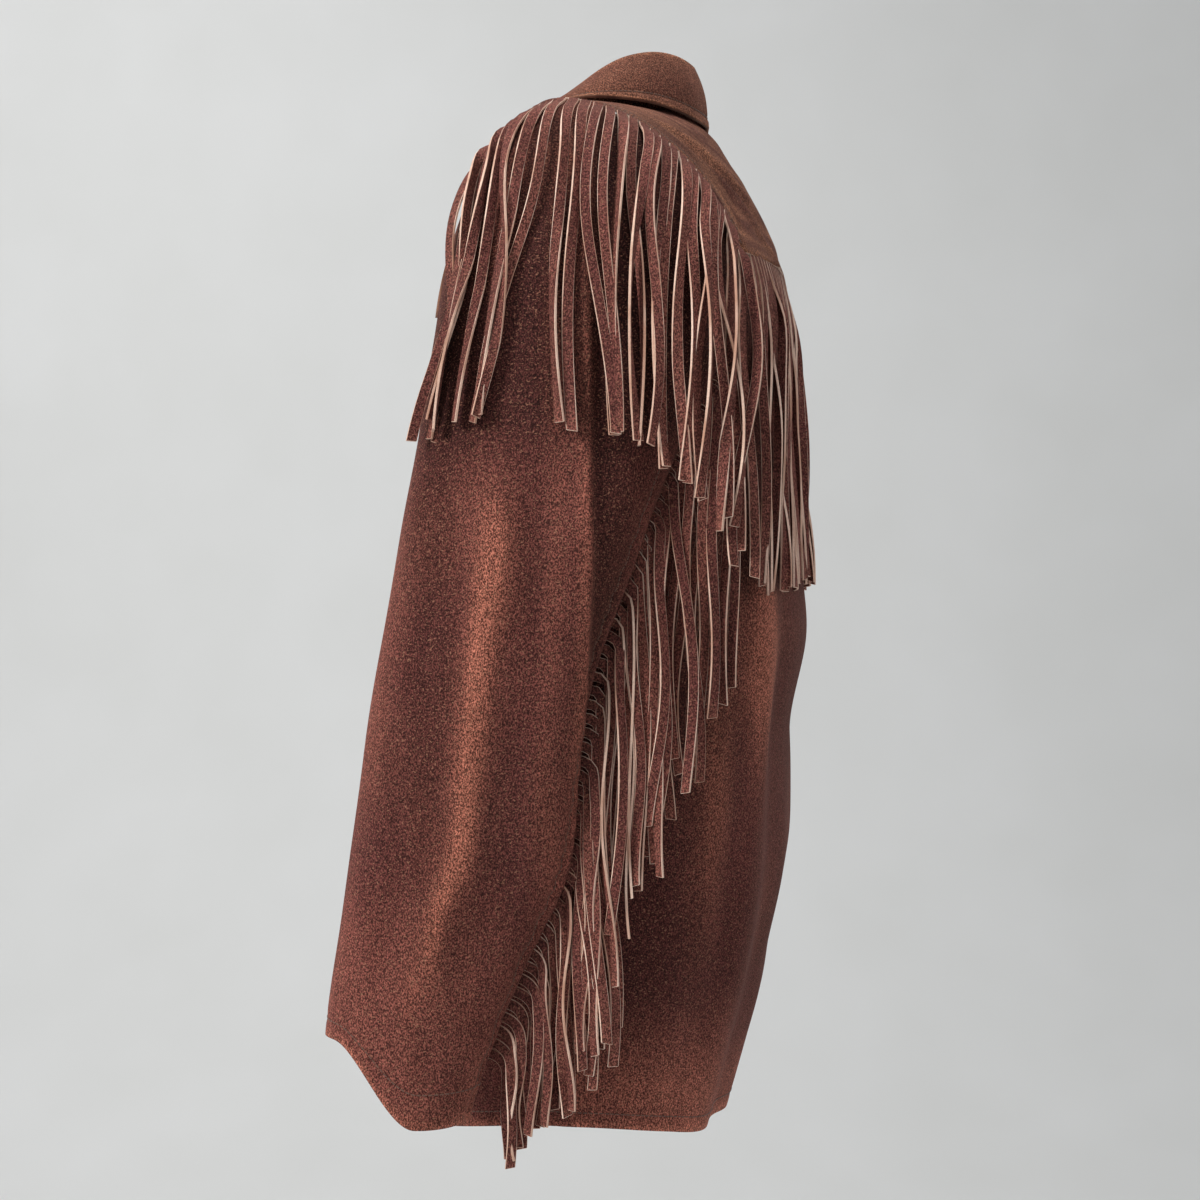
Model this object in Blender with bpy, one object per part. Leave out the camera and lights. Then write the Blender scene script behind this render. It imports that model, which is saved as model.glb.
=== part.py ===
"""Fringed suede jacket, hollow, in the shape it keeps when it is worn.

The frame: +Z is up, the front faces -Y and the wearer's left is +X. The origin is in
the middle of the neck opening, just above the seam of the collar at the back.
Every cloth piece is a thin wall over one of three surfaces that are worked out from the
tables below: the torso, the sleeve and the collar. All lengths are in metres.
"""
import math
from bisect import bisect_right

import bmesh
import bpy
import numpy as np
from mathutils import Vector

# Driving dimensions
SUEDE = 0.0018                 # one layer of split leather
COLLAR_LEATHER = 0.0026        # two layers, pressed
FRINGE_REACH = 0.0040          # depth of a hanging curtain of strips
STRIP_LENGTH = 0.228           # shoulder strips
BACK_STRIP_LENGTH = 0.224
SIDE_GAP = 0.0010              # between the walls at the side seams
ARMHOLE_GAP = 0.0012           # between the sleeve and the body
HEM_Z = -0.748                 # middle of the back
UNDERARM_Z = -0.245
ELBOW_Z = -0.377
HEM_RISE = 0.022               # how much higher the hem is at the sides
LAP = 0.018                    # how far each front passes the middle
LAP_LIFT = 0.0032              # the left front lies on the right one
BUTTON_RADIUS = 0.0085
BUTTON_THICK = 0.0030
BUTTON_COUNT = 6

# The body below the arms, one row for each level.
# z, half width, y of the side seam, y of the back, y of the front, fullness, edge
BODY = (
    (-0.748, 0.2040, 0.000, 0.1000, -0.122, 2.7, 0.40),
    (-0.700, 0.2045, 0.001, 0.1135, -0.127, 2.7, 0.40),
    (-0.640, 0.2060, 0.002, 0.1308, -0.131, 2.7, 0.40),
    (-0.530, 0.2080, 0.004, 0.1433, -0.136, 2.8, 0.38),
    (-0.437, 0.2100, 0.006, 0.1508, -0.138, 2.8, 0.38),
    (-0.377, 0.2110, 0.008, 0.1548, -0.135, 2.8, 0.38),
    (-0.300, 0.2118, 0.010, 0.1522, -0.127, 2.7, 0.40),
    (-0.245, 0.2120, 0.012, 0.1490, -0.121, 2.7, 0.42),
)

# The body above the arms, from the back over the shoulder ridge (row 9) to the front.
# station, y and z of the middle, place on the armhole, fullness, edge
SHOULDERS = (
    (0, 0.1490, -0.2450, 3.00, 2.7, 0.42),
    (1, 0.1448, -0.1830, 2.30, 2.8, 0.50),
    (2, 0.1408, -0.1385, 1.89, 2.5, 0.85),
    (3, 0.1315, -0.1063, 1.72, 2.3, 1.00),
    (4, 0.1155, -0.0716, 1.53, 2.2, 1.00),
    (5, 0.0990, -0.0445, 1.38, 2.2, 1.00),
    (6, 0.0835, -0.0225, 1.26, 2.0, 1.00),
    (7, 0.0580, -0.0050, 1.16, 2.0, 1.00),
    (8, 0.0300, 0.0020, 1.08, 2.0, 1.00),
    (9, 0.0000, 0.0035, 1.00, 2.0, 1.00),
    (10, -0.0300, -0.0090, 0.80, 2.0, 1.00),
    (11, -0.0580, -0.0370, 0.60, 2.0, 1.00),
    (12, -0.0820, -0.0750, 0.40, 2.0, 1.00),
    (13, -0.0975, -0.1120, 0.18, 2.2, 0.95),
    (14, -0.1080, -0.1550, 0.00, 2.3, 0.80),
    (15, -0.1150, -0.2000, -0.50, 2.6, 0.50),
    (16, -0.1210, -0.2450, -1.00, 2.7, 0.42),
)
YOKE_STATION = 2               # the yoke's fringed lower edge
FRONT_SEAM_STATION = 10        # where the yoke meets the fronts
FRONT_STATION = 16             # the front at the height of the underarm
STATION_GAP = 0.010            # half the gap at the yoke's lower edge, in stations
FRONT_SEAM_GAP = 0.018         # half the gap at the bent seam to the fronts

# The neckline, as an ellipse in station and lateral fraction
NECK_MIDDLE = 9.68
NECK_HALF = 3.32
NECK_WIDTH = 0.35

# The left sleeve, one row for each ring, from the armhole to the end.
# station, then x, y, z of the front line, the outer line, the seam line, the inner line,
# then the fullness of the back quarter
SLEEVE = (
    (0, 0.208, -0.0720, -0.1550, 0.222, 0.000, -0.050,
     0.208, 0.1160, -0.165, 0.2120, 0.012, -0.245, 1.7),
    (1, 0.226, -0.0745, -0.1720, 0.250, -0.003, -0.070,
     0.226, 0.1125, -0.192, 0.2185, 0.010, -0.262, 1.9),
    (2, 0.239, -0.0782, -0.1980, 0.272, -0.010, -0.112,
     0.237, 0.1050, -0.222, 0.2215, 0.006, -0.284, 2.2),
    (3, 0.246, -0.0812, -0.2350, 0.286, -0.019, -0.175,
     0.243, 0.0925, -0.250, 0.2235, 0.000, -0.308, 2.6),
    (4, 0.250, -0.0892, -0.2820, 0.294, -0.027, -0.250,
     0.247, 0.0735, -0.288, 0.2250, -0.008, -0.335, 2.8),
    (5, 0.252, -0.1017, -0.3350, 0.299, -0.034, -0.325,
     0.252, 0.0526, -0.337, 0.2270, -0.018, -0.372, 2.8),
    (6, 0.254, -0.1125, -0.4090, 0.300, -0.041, -0.405,
     0.256, 0.0285, -0.412, 0.2290, -0.035, -0.430, 2.6),
    (7, 0.255, -0.1245, -0.4730, 0.300, -0.050, -0.480,
     0.259, 0.0155, -0.478, 0.2300, -0.048, -0.490, 2.3),
    (8, 0.255, -0.1355, -0.5400, 0.299, -0.060, -0.545,
     0.261, 0.0040, -0.545, 0.2310, -0.058, -0.550, 2.1),
    (9, 0.254, -0.1412, -0.6000, 0.296, -0.075, -0.605,
     0.261, -0.0190, -0.603, 0.2310, -0.072, -0.608, 2.0),
    (10, 0.252, -0.1467, -0.6545, 0.293, -0.085, -0.706,
     0.258, -0.0555, -0.706, 0.2300, -0.085, -0.706, 2.0),
)
LAST_RING = 10
LOBE_SHIFT = 0.011             # of the end's lowest point behind the outer line
QUARTER_FULLNESS = 2.2         # of the three other quarters of a ring
FRONT_SLEEVE_SEAM = -0.30      # place of the second seam on the ring, just inside the arm

# The collar, one row for each angle round the neck from the middle of the back.
# angle in degrees, height of the stand, lateral fraction and station of the fall's edge
COLLAR = (
    (0, 0.0460, 0.000, 6.15),
    (30, 0.0455, 0.225, 6.45),
    (60, 0.0360, 0.400, 7.50),
    (90, 0.0100, 0.500, 9.50),
    (120, 0.0075, 0.500, 12.00),
    (150, 0.0075, 0.400, 14.30),
)
COLLAR_END = 150
STAND_END = 152
STAND_INSET = 0.045            # the stand's foot is just inside the neckline
STAND_LEAN = 0.005
COLLAR_LIFT = 0.0060           # of the fall's outer face above the yoke
STAND_CLEAR = 0.0034           # between the outer faces of the stand and of the fall
FOLD_CLEAR = 0.0020

# The fringe in the sleeve's back seam: station, length of the strips
SLEEVE_FRINGE = (
    (2.0, 0.212), (4.0, 0.210), (6.0, 0.190), (7.5, 0.160), (8.5, 0.120), (9.5, 0.078),
)
SLEEVE_FRINGE_STAND = 0.014    # how far the strips stand off the seam before they fall
SLEEVE_FRINGE_THICK = 0.0050

# Colours, linear: leather, leather in the shade of the fringe, horn
SUEDE_COLOUR = (0.115, 0.036, 0.028, 1.0)
FRINGE_COLOUR = (0.085, 0.028, 0.023, 1.0)
BUTTON_COLOUR = (0.030, 0.016, 0.012, 1.0)


def table_row(table, place):
    """The row at a place in a table's first column, on a smooth curve through its rows."""
    keys = [row[0] for row in table]
    place = min(max(place, keys[0]), keys[-1])
    low = min(bisect_right(keys, place) - 1, len(keys) - 2)
    span = keys[low + 1] - keys[low]
    t = (place - keys[low]) / span

    def slope(index, column):
        before, after = max(index - 1, 0), min(index + 1, len(keys) - 1)
        return (table[after][column] - table[before][column]) / (keys[after] - keys[before])

    row = []
    for column in range(1, len(table[0])):
        start, end = table[low][column], table[low + 1][column]
        m0, m1 = slope(low, column) * span, slope(low + 1, column) * span
        row.append((2 * t**3 - 3 * t**2 + 1) * start + (t**3 - 2 * t**2 + t) * m0
                   + (3 * t**2 - 2 * t**3) * end + (t**3 - t**2) * m1)
    return row


def smoothstep(t):
    t = min(max(t, 0.0), 1.0)
    return t * t * (3 - 2 * t)


def lerp(a, b, t):
    return a + (b - a) * t


def ring_point(lines, fullness, place):
    """A point on the closed ring through four points: 0 front, 1 outer, 2 seam, 3 inner."""
    place %= 4
    quarter = int(place)
    turn = (place - quarter) * math.pi / 2
    start, end = lines[quarter], lines[(quarter + 1) % 4]
    leaving = max(math.cos(turn), 0.0) ** (2 / fullness[quarter])
    arriving = max(math.sin(turn), 0.0) ** (2 / fullness[quarter])
    if quarter % 2 == 0:
        across = start.lerp(end, arriving)
        depth = lerp(end.y, start.y, leaving)
    else:
        across = end.lerp(start, leaving)
        depth = lerp(start.y, end.y, arriving)
    return Vector((across.x, depth, across.z))


def sleeve_point(station, place):
    """A point on the left sleeve: station 0 to 10 along it, place 0 to 4 round it."""
    row = table_row(SLEEVE, station)
    lines = [Vector(row[3 * i:3 * i + 3]) for i in range(4)]
    head = lerp(1.85, QUARTER_FULLNESS, smoothstep(station / 3))
    fullness = (head, row[12], QUARTER_FULLNESS, QUARTER_FULLNESS)
    point = ring_point(lines, fullness, place)
    # The end of the sleeve drops in an S from its front corner to its round lobe.
    drop = smoothstep((station - LAST_RING + 1.5) / 1.5)
    front, lobe = lines[0], lines[1]
    low_y = lobe.y + LOBE_SHIFT
    fallen = smoothstep(((point.y - front.y) / (low_y - front.y) - 0.1) / 0.75)
    shaped = lerp(front.z, lobe.z, fallen)
    point.z = lerp(point.z, shaped, drop)
    return point


def armhole(place):
    return sleeve_point(0, place)


def torso_row(middle_y, middle_z, edge, fullness, softness, across):
    """A point on a row that runs from the middle of the body to its edge."""
    side = min(abs(across), 1.0)
    bow = (1 - side ** fullness) ** softness
    return Vector((math.copysign(edge.x * side, across),
                   lerp(edge.y, middle_y, bow),
                   lerp(middle_z, edge.z, side)))


def lower_torso(z, across, back):
    """The body below the arms at a level; across is -1 to 1 between the side seams."""
    half_width, side_y, back_y, front_y, fullness, softness = table_row(BODY, z)
    middle_y = back_y if back else front_y
    side_y += SIDE_GAP / 2 if back else -SIDE_GAP / 2
    low = (z - UNDERARM_Z) / (HEM_Z - UNDERARM_Z)
    edge = Vector((half_width, side_y, z))
    point = torso_row(middle_y, z, edge, fullness, softness, across)
    point.z = z + HEM_RISE * low ** 3 * abs(across) ** 3.5
    return point


def upper_torso(station, across):
    """The body above the arms; across is -1 to 1 between the armholes."""
    middle_y, middle_z, place, fullness, softness = table_row(SHOULDERS, station)
    return torso_row(middle_y, middle_z, armhole(place), fullness, softness, across)


def torso_normal(station, across):
    step = 0.02
    along = upper_torso(station + step, across) - upper_torso(station - step, across)
    side = upper_torso(station, across + step) - upper_torso(station, across - step)
    return along.cross(side).normalized()


def row_lengths():
    """Places across a row at the height of the elbow, and the length of the row to each."""
    places = [math.sin(step * math.pi / 400) for step in range(201)]
    points = [lower_torso(ELBOW_Z, place, True) for place in places]
    lengths = [0.0]
    for start, end in zip(points, points[1:]):
        lengths.append(lengths[-1] + (end - start).length)
    return places, lengths


def even(inner, outer, u):
    """The place at a share u of the way along a row between two places across it."""
    places, lengths = ROW_LENGTHS

    def length_at(place):
        return math.copysign(np.interp(abs(place), places, lengths), place)

    length = lerp(length_at(inner), length_at(outer), u)
    return math.copysign(np.interp(abs(length), lengths, places), length)


ROW_LENGTHS = row_lengths()


def neckline(angle, inset=0.0):
    """Station and lateral fraction of the neckline at an angle from the back, in degrees."""
    turn = math.radians(angle)
    return (NECK_MIDDLE - NECK_HALF * (1 - inset) * math.cos(turn),
            NECK_WIDTH * (1 - inset) * math.sin(turn))


def material(name, colour, roughness):
    made = bpy.data.materials.new(name)
    made.use_nodes = True
    shader = made.node_tree.nodes["Principled BSDF"]
    shader.inputs["Base Color"].default_value = colour
    shader.inputs["Roughness"].default_value = roughness
    shader.inputs["Metallic"].default_value = 0.0
    made.diffuse_color = colour
    return made


def wall(name, place, columns, rows, colour, thick=SUEDE, outward=False, flip=False):
    """A closed wall over the surface place(u, v), with u and v from 0 to 1.

    The surface is the wall's outer face, or its inner face where outward is true."""
    bm = bmesh.new()
    bmesh.ops.create_grid(bm, x_segments=columns, y_segments=rows, size=0.5)
    for vert in bm.verts:
        vert.co = place(vert.co.x + 0.5, vert.co.y + 0.5)
    if flip:
        bmesh.ops.reverse_faces(bm, faces=bm.faces)
    mesh = bpy.data.meshes.new(name)
    bm.to_mesh(mesh)
    bm.free()
    mesh.shade_smooth()
    obj = bpy.data.objects.new(name, mesh)
    bpy.context.collection.objects.link(obj)
    mesh.materials.append(material(name, colour, 0.9))
    solid = obj.modifiers.new("Thickness", "SOLIDIFY")
    solid.thickness = thick
    solid.offset = 1.0 if outward else -1.0
    solid.use_even_offset = True
    return obj


def tube_wall(name, place, columns, rows, colour, thick=SUEDE, flip=False):
    """A closed wall whose rims stand square to the smooth surface, for pieces of a tube."""
    step = 0.01
    bm = bmesh.new()
    bmesh.ops.create_grid(bm, x_segments=columns, y_segments=rows, size=0.5)
    made = bmesh.ops.extrude_face_region(bm, geom=list(bm.faces), use_keep_orig=True)
    inner = set(item for item in made["geom"] if isinstance(item, bmesh.types.BMVert))
    for vert in bm.verts:
        u, v = vert.co.x + 0.5, vert.co.y + 0.5
        point = place(u, v)
        if vert in inner:
            low, high = max(v - step, 0.0), min(v + step, 1.0)
            along = place(u, high) - place(u, low)
            normal = (place(u + step, v) - place(u - step, v)).cross(along).normalized()
            point = point + normal * (thick if flip else -thick)
        vert.co = point
    bmesh.ops.recalc_face_normals(bm, faces=bm.faces)
    mesh = bpy.data.meshes.new(name)
    bm.to_mesh(mesh)
    bm.free()
    mesh.shade_smooth()
    obj = bpy.data.objects.new(name, mesh)
    bpy.context.collection.objects.link(obj)
    mesh.materials.append(material(name, colour, 0.9))
    return obj


def mirrored(place):
    def across(u, v):
        point = place(u, v)
        return Vector((-point.x, point.y, point.z))
    return across


def pair(build, name, place, columns, rows, colour, flip=False, **options):
    """The left piece and its mirror image on the right."""
    build(name + "_left", place, columns, rows, colour, flip=flip, **options)
    build(name + "_right", mirrored(place), columns, rows, colour, flip=not flip, **options)


def back_panel():
    lower_share = 0.62

    def place(u, v):
        across = even(-1, 1, u)
        if v <= lower_share:
            return lower_torso(lerp(HEM_Z, UNDERARM_Z, v / lower_share), across, True)
        top = (v - lower_share) / (1 - lower_share)
        return upper_torso(top * (YOKE_STATION - STATION_GAP), across)

    wall("back_panel", place, 18, 13, SUEDE_COLOUR, flip=True)


def yoke():
    corner = 0.46

    def place(u, v):
        side = 2 * u - 1
        turn = abs(side)
        end_angle = math.degrees(math.acos((NECK_MIDDLE - FRONT_SEAM_STATION) / NECK_HALF))
        inner_station, inner_across = neckline(turn * end_angle)
        if turn <= corner:
            outer_station, outer_across = YOKE_STATION, turn / corner
        else:
            along = (turn - corner) / (1 - corner)
            outer_station, outer_across = lerp(YOKE_STATION, FRONT_SEAM_STATION, along), 1.0
        station = lerp(inner_station, outer_station, v)
        across = lerp(inner_across, outer_across, v)
        station = max(station, YOKE_STATION + STATION_GAP)
        station = min(station, FRONT_SEAM_STATION - FRONT_SEAM_GAP)
        return upper_torso(station, math.copysign(across, side))

    wall("yoke", place, 26, 6, SUEDE_COLOUR)


def front_panels():
    lower_share = 0.60
    columns = 10
    neck_station = NECK_MIDDLE + NECK_HALF
    lap = LAP / armhole(0).x
    lap_margin = 0.004

    def place_across(inner, u):
        """The first column is as wide as the lap, so that the rise ends beside it."""
        first = inner + 2 * lap + lap_margin / armhole(0).x
        if u * columns < 1:
            return lerp(inner, first, u * columns)
        return even(first, 1.0, (u * columns - 1) / (columns - 1))

    def base(u, v):
        """A point on the left front, with its inner edge on the lap and the neckline."""
        if v <= lower_share:
            z = lerp(HEM_Z, UNDERARM_Z, v / lower_share)
            return lower_torso(z, place_across(-lap, u), False)
        top = (v - lower_share) / (1 - lower_share)
        station = lerp(FRONT_STATION, FRONT_SEAM_STATION + FRONT_SEAM_GAP, top)
        inner = -lap * smoothstep((station - neck_station) / 0.8)
        if station < neck_station:
            inner = NECK_WIDTH * math.sqrt(1 - ((station - NECK_MIDDLE) / NECK_HALF) ** 2)
        return upper_torso(station, place_across(inner, u))

    def left(u, v):
        """The left front rises where it lies on the right one, up to the collar."""
        rise = LAP_LIFT * (1 - smoothstep((u * columns - 1) / 1.5))
        return base(u, v) + Vector((0, -rise * (1 - smoothstep((v - 0.80) / 0.08)), 0))

    wall("front_left", left, columns, 15, SUEDE_COLOUR)
    wall("front_right", mirrored(base), columns, 15, SUEDE_COLOUR, flip=True)


def collar():
    def stand(u, v):
        angle = lerp(-STAND_END, STAND_END, u)
        height = table_row(COLLAR, abs(angle))[0] - FOLD_CLEAR
        inset = STAND_INSET * (1 + smoothstep((abs(angle) - 90) / 40))
        station, across = neckline(abs(angle), inset)
        foot = upper_torso(station, math.copysign(across, angle))
        lean = Vector((-foot.x, -foot.y, 0)).normalized() * STAND_LEAN
        return foot + Vector((0, 0, 0.0006 + height * v)) + lean * (v * height / 0.04)

    def fall(u, v):
        angle = lerp(-COLLAR_END, COLLAR_END, u)
        height, edge_across, edge_station = table_row(COLLAR, abs(angle))
        station, across = neckline(abs(angle))
        station = lerp(station, edge_station, v)
        across = math.copysign(lerp(across, edge_across, v), angle)
        base = upper_torso(station, across)
        out = Vector((base.x, base.y, 0)).normalized()
        fold = Vector((0, 0, max(height, COLLAR_LIFT + 0.001))) \
            + out * (STAND_CLEAR - STAND_LEAN * height / 0.04)
        return base + fold * (1 - v) + torso_normal(station, across) * COLLAR_LIFT * v

    wall("collar_stand", stand, 24, 2, SUEDE_COLOUR, thick=COLLAR_LEATHER, flip=True)
    wall("collar_fall", fall, 24, 4, SUEDE_COLOUR, thick=COLLAR_LEATHER)


def sleeves():
    def at(station, place):
        point = sleeve_point(station, place)
        return point + Vector((ARMHOLE_GAP, 0, 0))

    def station(v):
        return LAST_RING * v ** 1.15

    def top(u, v):
        gap = 0.004
        return at(station(v), lerp(FRONT_SLEEVE_SEAM + gap, 2 - gap, u))

    def under(u, v):
        gap = 0.004
        return at(station(v), lerp(2 + gap, 4 + FRONT_SLEEVE_SEAM - gap, u))

    pair(tube_wall, "top_sleeve", top, 13, 16, SUEDE_COLOUR, flip=True)
    pair(tube_wall, "under_sleeve", under, 8, 16, SUEDE_COLOUR, flip=True)


def draped(points, length, share):
    """The point at a share of a length along a line of points."""
    left = length * share
    for start, end in zip(points, points[1:]):
        step = (end - start).length
        if step >= left and step > 0:
            return start.lerp(end, left / step)
        left -= step
    return points[-1] + Vector((0, 0, -left))


def shoulder_fringe():
    first, last = 0.45, 1.86
    lift = 0.0080

    def place(u, v):
        """Strips leave the armhole, pass over the sleeve's head and hang free below it."""
        spot = lerp(first, last, u)
        centre = Vector((0.24, 0.02, 0))
        points = []
        for step in range(33):
            point = sleeve_point(step / 8, spot)
            out = Vector((point.x - centre.x + 0.03, point.y - centre.y, 0)).normalized()
            point = point + (out * 0.8 + Vector((0, 0, 0.6))) * lift
            point.x += 0.010 * smoothstep(step / 12) * smoothstep((spot - 1.2) / 0.6)
            if points:
                point.x = max(point.x, points[-1].x)
                if spot > 1:
                    point.y = max(point.y, points[-1].y)
                else:
                    point.y = min(point.y, points[-1].y)
            points.append(point)
        return draped(points, STRIP_LENGTH, v)

    pair(wall, "shoulder_fringe", place, 13, 9, FRINGE_COLOUR, flip=True,
         thick=FRINGE_REACH, outward=True)


def back_fringe():
    reach = 0.965
    lift = 0.0030

    def place(u, v):
        """Strips leave the yoke's lower edge and hang over the back."""
        across = reach * (2 * u - 1)
        points = []
        for step in range(25):
            if step <= 8:
                point = upper_torso(YOKE_STATION * (1 - step / 8), across)
            else:
                z = lerp(UNDERARM_Z, -0.42, (step - 8) / 16)
                point = lower_torso(z, across, True)
            point = point + Vector((0, lift + 0.003 * step / 24, -0.0012))
            if points:
                point.y = max(point.y, points[-1].y)
                point.x = points[0].x
            points.append(point)
        return draped(points, BACK_STRIP_LENGTH, v)

    wall("back_fringe", place, 16, 6, FRINGE_COLOUR, thick=FRINGE_REACH, outward=True)


def sleeve_fringe():
    first, last = SLEEVE_FRINGE[0][0], SLEEVE_FRINGE[-1][0]

    def place(u, v):
        """Strips leave the sleeve's back seam, turn down and hang beside the back."""
        station = lerp(first, last, u)
        length = table_row(SLEEVE_FRINGE, station)[0]
        seam = sleeve_point(station, 2)
        off = 0.0064 + SLEEVE_FRINGE_STAND * (1 - (1 - v) ** 3)
        return seam + Vector((-0.0025, off, -length * v))

    pair(wall, "sleeve_fringe", place, 14, 4, FRINGE_COLOUR, thick=SLEEVE_FRINGE_THICK)


def buttons():
    top_z, bottom_z = -0.150, -0.660
    for number in range(BUTTON_COUNT):
        z = lerp(top_z, bottom_z, number / (BUTTON_COUNT - 1))
        if z > UNDERARM_Z:
            station = next(k / 50 for k in range(600, 801) if table_row(SHOULDERS, k / 50)[1] <= z)
            front_y = upper_torso(station, 0).y
            ahead = upper_torso(station + 0.1, 0) - upper_torso(station - 0.1, 0)
        else:
            front_y = lower_torso(z, 0, False).y
            ahead = lower_torso(z - 0.004, 0, False) - lower_torso(z + 0.004, 0, False)
        normal = Vector((0, ahead.z, -ahead.y)).normalized()
        centre = Vector((0, front_y - LAP_LIFT, z)) + normal * (BUTTON_THICK / 2 + 0.0012)
        bm = bmesh.new()
        bmesh.ops.create_cone(bm, cap_ends=True, segments=14, radius1=BUTTON_RADIUS,
                              radius2=BUTTON_RADIUS, depth=BUTTON_THICK)
        rims = [edge for edge in bm.edges if abs(edge.verts[0].co.z - edge.verts[1].co.z) < 1e-6]
        bmesh.ops.bevel(bm, geom=rims, offset=0.0007, segments=1, profile=0.5, affect="EDGES",
                        material=-1)
        name = "button_%d" % (number + 1)
        mesh = bpy.data.meshes.new(name)
        bm.to_mesh(mesh)
        bm.free()
        mesh.materials.append(material(name, BUTTON_COLOUR, 0.35))
        obj = bpy.data.objects.new(name, mesh)
        obj.rotation_mode = "QUATERNION"
        obj.rotation_quaternion = normal.to_track_quat("Z", "Y")
        obj.location = centre
        bpy.context.collection.objects.link(obj)


def main():
    for obj in list(bpy.data.objects):
        bpy.data.objects.remove(obj)
    back_panel()
    yoke()
    front_panels()
    collar()
    sleeves()
    shoulder_fringe()
    back_fringe()
    sleeve_fringe()
    buttons()


main()
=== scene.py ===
"""Looks of the fringed suede jacket: fine cloth walls, loose fringe strips, stitching and nap.

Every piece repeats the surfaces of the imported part, in metres, in the part's own frame:
+Z up, front towards -Y, the wearer's left towards +X.
"""
import math
import random
from bisect import bisect_right

import bmesh
import bpy
import numpy as np
from mathutils import Matrix, Quaternion, Vector, noise


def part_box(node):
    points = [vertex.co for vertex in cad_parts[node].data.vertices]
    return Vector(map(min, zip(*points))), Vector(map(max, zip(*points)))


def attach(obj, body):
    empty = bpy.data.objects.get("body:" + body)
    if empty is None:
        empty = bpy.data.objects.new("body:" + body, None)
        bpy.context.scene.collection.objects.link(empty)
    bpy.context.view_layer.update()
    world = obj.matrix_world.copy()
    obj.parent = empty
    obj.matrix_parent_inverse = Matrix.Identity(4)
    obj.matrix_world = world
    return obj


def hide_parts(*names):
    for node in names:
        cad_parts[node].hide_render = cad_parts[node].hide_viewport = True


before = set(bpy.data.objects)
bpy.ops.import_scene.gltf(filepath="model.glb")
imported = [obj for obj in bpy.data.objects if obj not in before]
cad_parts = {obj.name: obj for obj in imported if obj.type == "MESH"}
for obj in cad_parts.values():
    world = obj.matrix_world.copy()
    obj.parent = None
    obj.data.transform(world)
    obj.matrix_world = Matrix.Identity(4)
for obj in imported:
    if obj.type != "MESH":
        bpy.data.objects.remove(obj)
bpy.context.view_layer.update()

# Sizes shared with the part
SUEDE = 0.0018
COLLAR_LEATHER = 0.0026
STRIP_WIDTH = 0.0068
STRIP_PITCH = 0.0080
SLEEVE_PITCH = 0.0090
STRIP_THICK = 0.0017
STRIP_CHAMFER = 0.00034        # the pale rim of a strip
STRIP_LENGTH = 0.228
BACK_STRIP_LENGTH = 0.224
HEM_Z = -0.748
UNDERARM_Z = -0.245
ELBOW_Z = -0.377
HEM_RISE = 0.022
HEM_HALF = 0.21
LAP = 0.018
LAP_LIFT = 0.0032
BUTTON_COUNT = 6
SIDES = ((1, "l", "left"), (-1, "r", "right"))

BODY = (
    (-0.748, 0.2040, 0.000, 0.1000, -0.122, 2.7, 0.40),
    (-0.700, 0.2045, 0.001, 0.1135, -0.127, 2.7, 0.40),
    (-0.640, 0.2060, 0.002, 0.1308, -0.131, 2.7, 0.40),
    (-0.530, 0.2080, 0.004, 0.1433, -0.136, 2.8, 0.38),
    (-0.437, 0.2100, 0.006, 0.1508, -0.138, 2.8, 0.38),
    (-0.377, 0.2110, 0.008, 0.1548, -0.135, 2.8, 0.38),
    (-0.300, 0.2118, 0.010, 0.1522, -0.127, 2.7, 0.40),
    (-0.245, 0.2120, 0.012, 0.1490, -0.121, 2.7, 0.42),
)
SHOULDERS = (
    (0, 0.1490, -0.2450, 3.00, 2.7, 0.42),
    (1, 0.1448, -0.1830, 2.30, 2.8, 0.50),
    (2, 0.1408, -0.1385, 1.89, 2.5, 0.85),
    (3, 0.1315, -0.1063, 1.72, 2.3, 1.00),
    (4, 0.1155, -0.0716, 1.53, 2.2, 1.00),
    (5, 0.0990, -0.0445, 1.38, 2.2, 1.00),
    (6, 0.0835, -0.0225, 1.26, 2.0, 1.00),
    (7, 0.0580, -0.0050, 1.16, 2.0, 1.00),
    (8, 0.0300, 0.0020, 1.08, 2.0, 1.00),
    (9, 0.0000, 0.0035, 1.00, 2.0, 1.00),
    (10, -0.0300, -0.0090, 0.80, 2.0, 1.00),
    (11, -0.0580, -0.0370, 0.60, 2.0, 1.00),
    (12, -0.0820, -0.0750, 0.40, 2.0, 1.00),
    (13, -0.0975, -0.1120, 0.18, 2.2, 0.95),
    (14, -0.1080, -0.1550, 0.00, 2.3, 0.80),
    (15, -0.1150, -0.2000, -0.50, 2.6, 0.50),
    (16, -0.1210, -0.2450, -1.00, 2.7, 0.42),
)
YOKE_STATION = 2
FRONT_SEAM_STATION = 10
FRONT_STATION = 16
NECK_MIDDLE = 9.68
NECK_HALF = 3.32
NECK_WIDTH = 0.35
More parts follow.
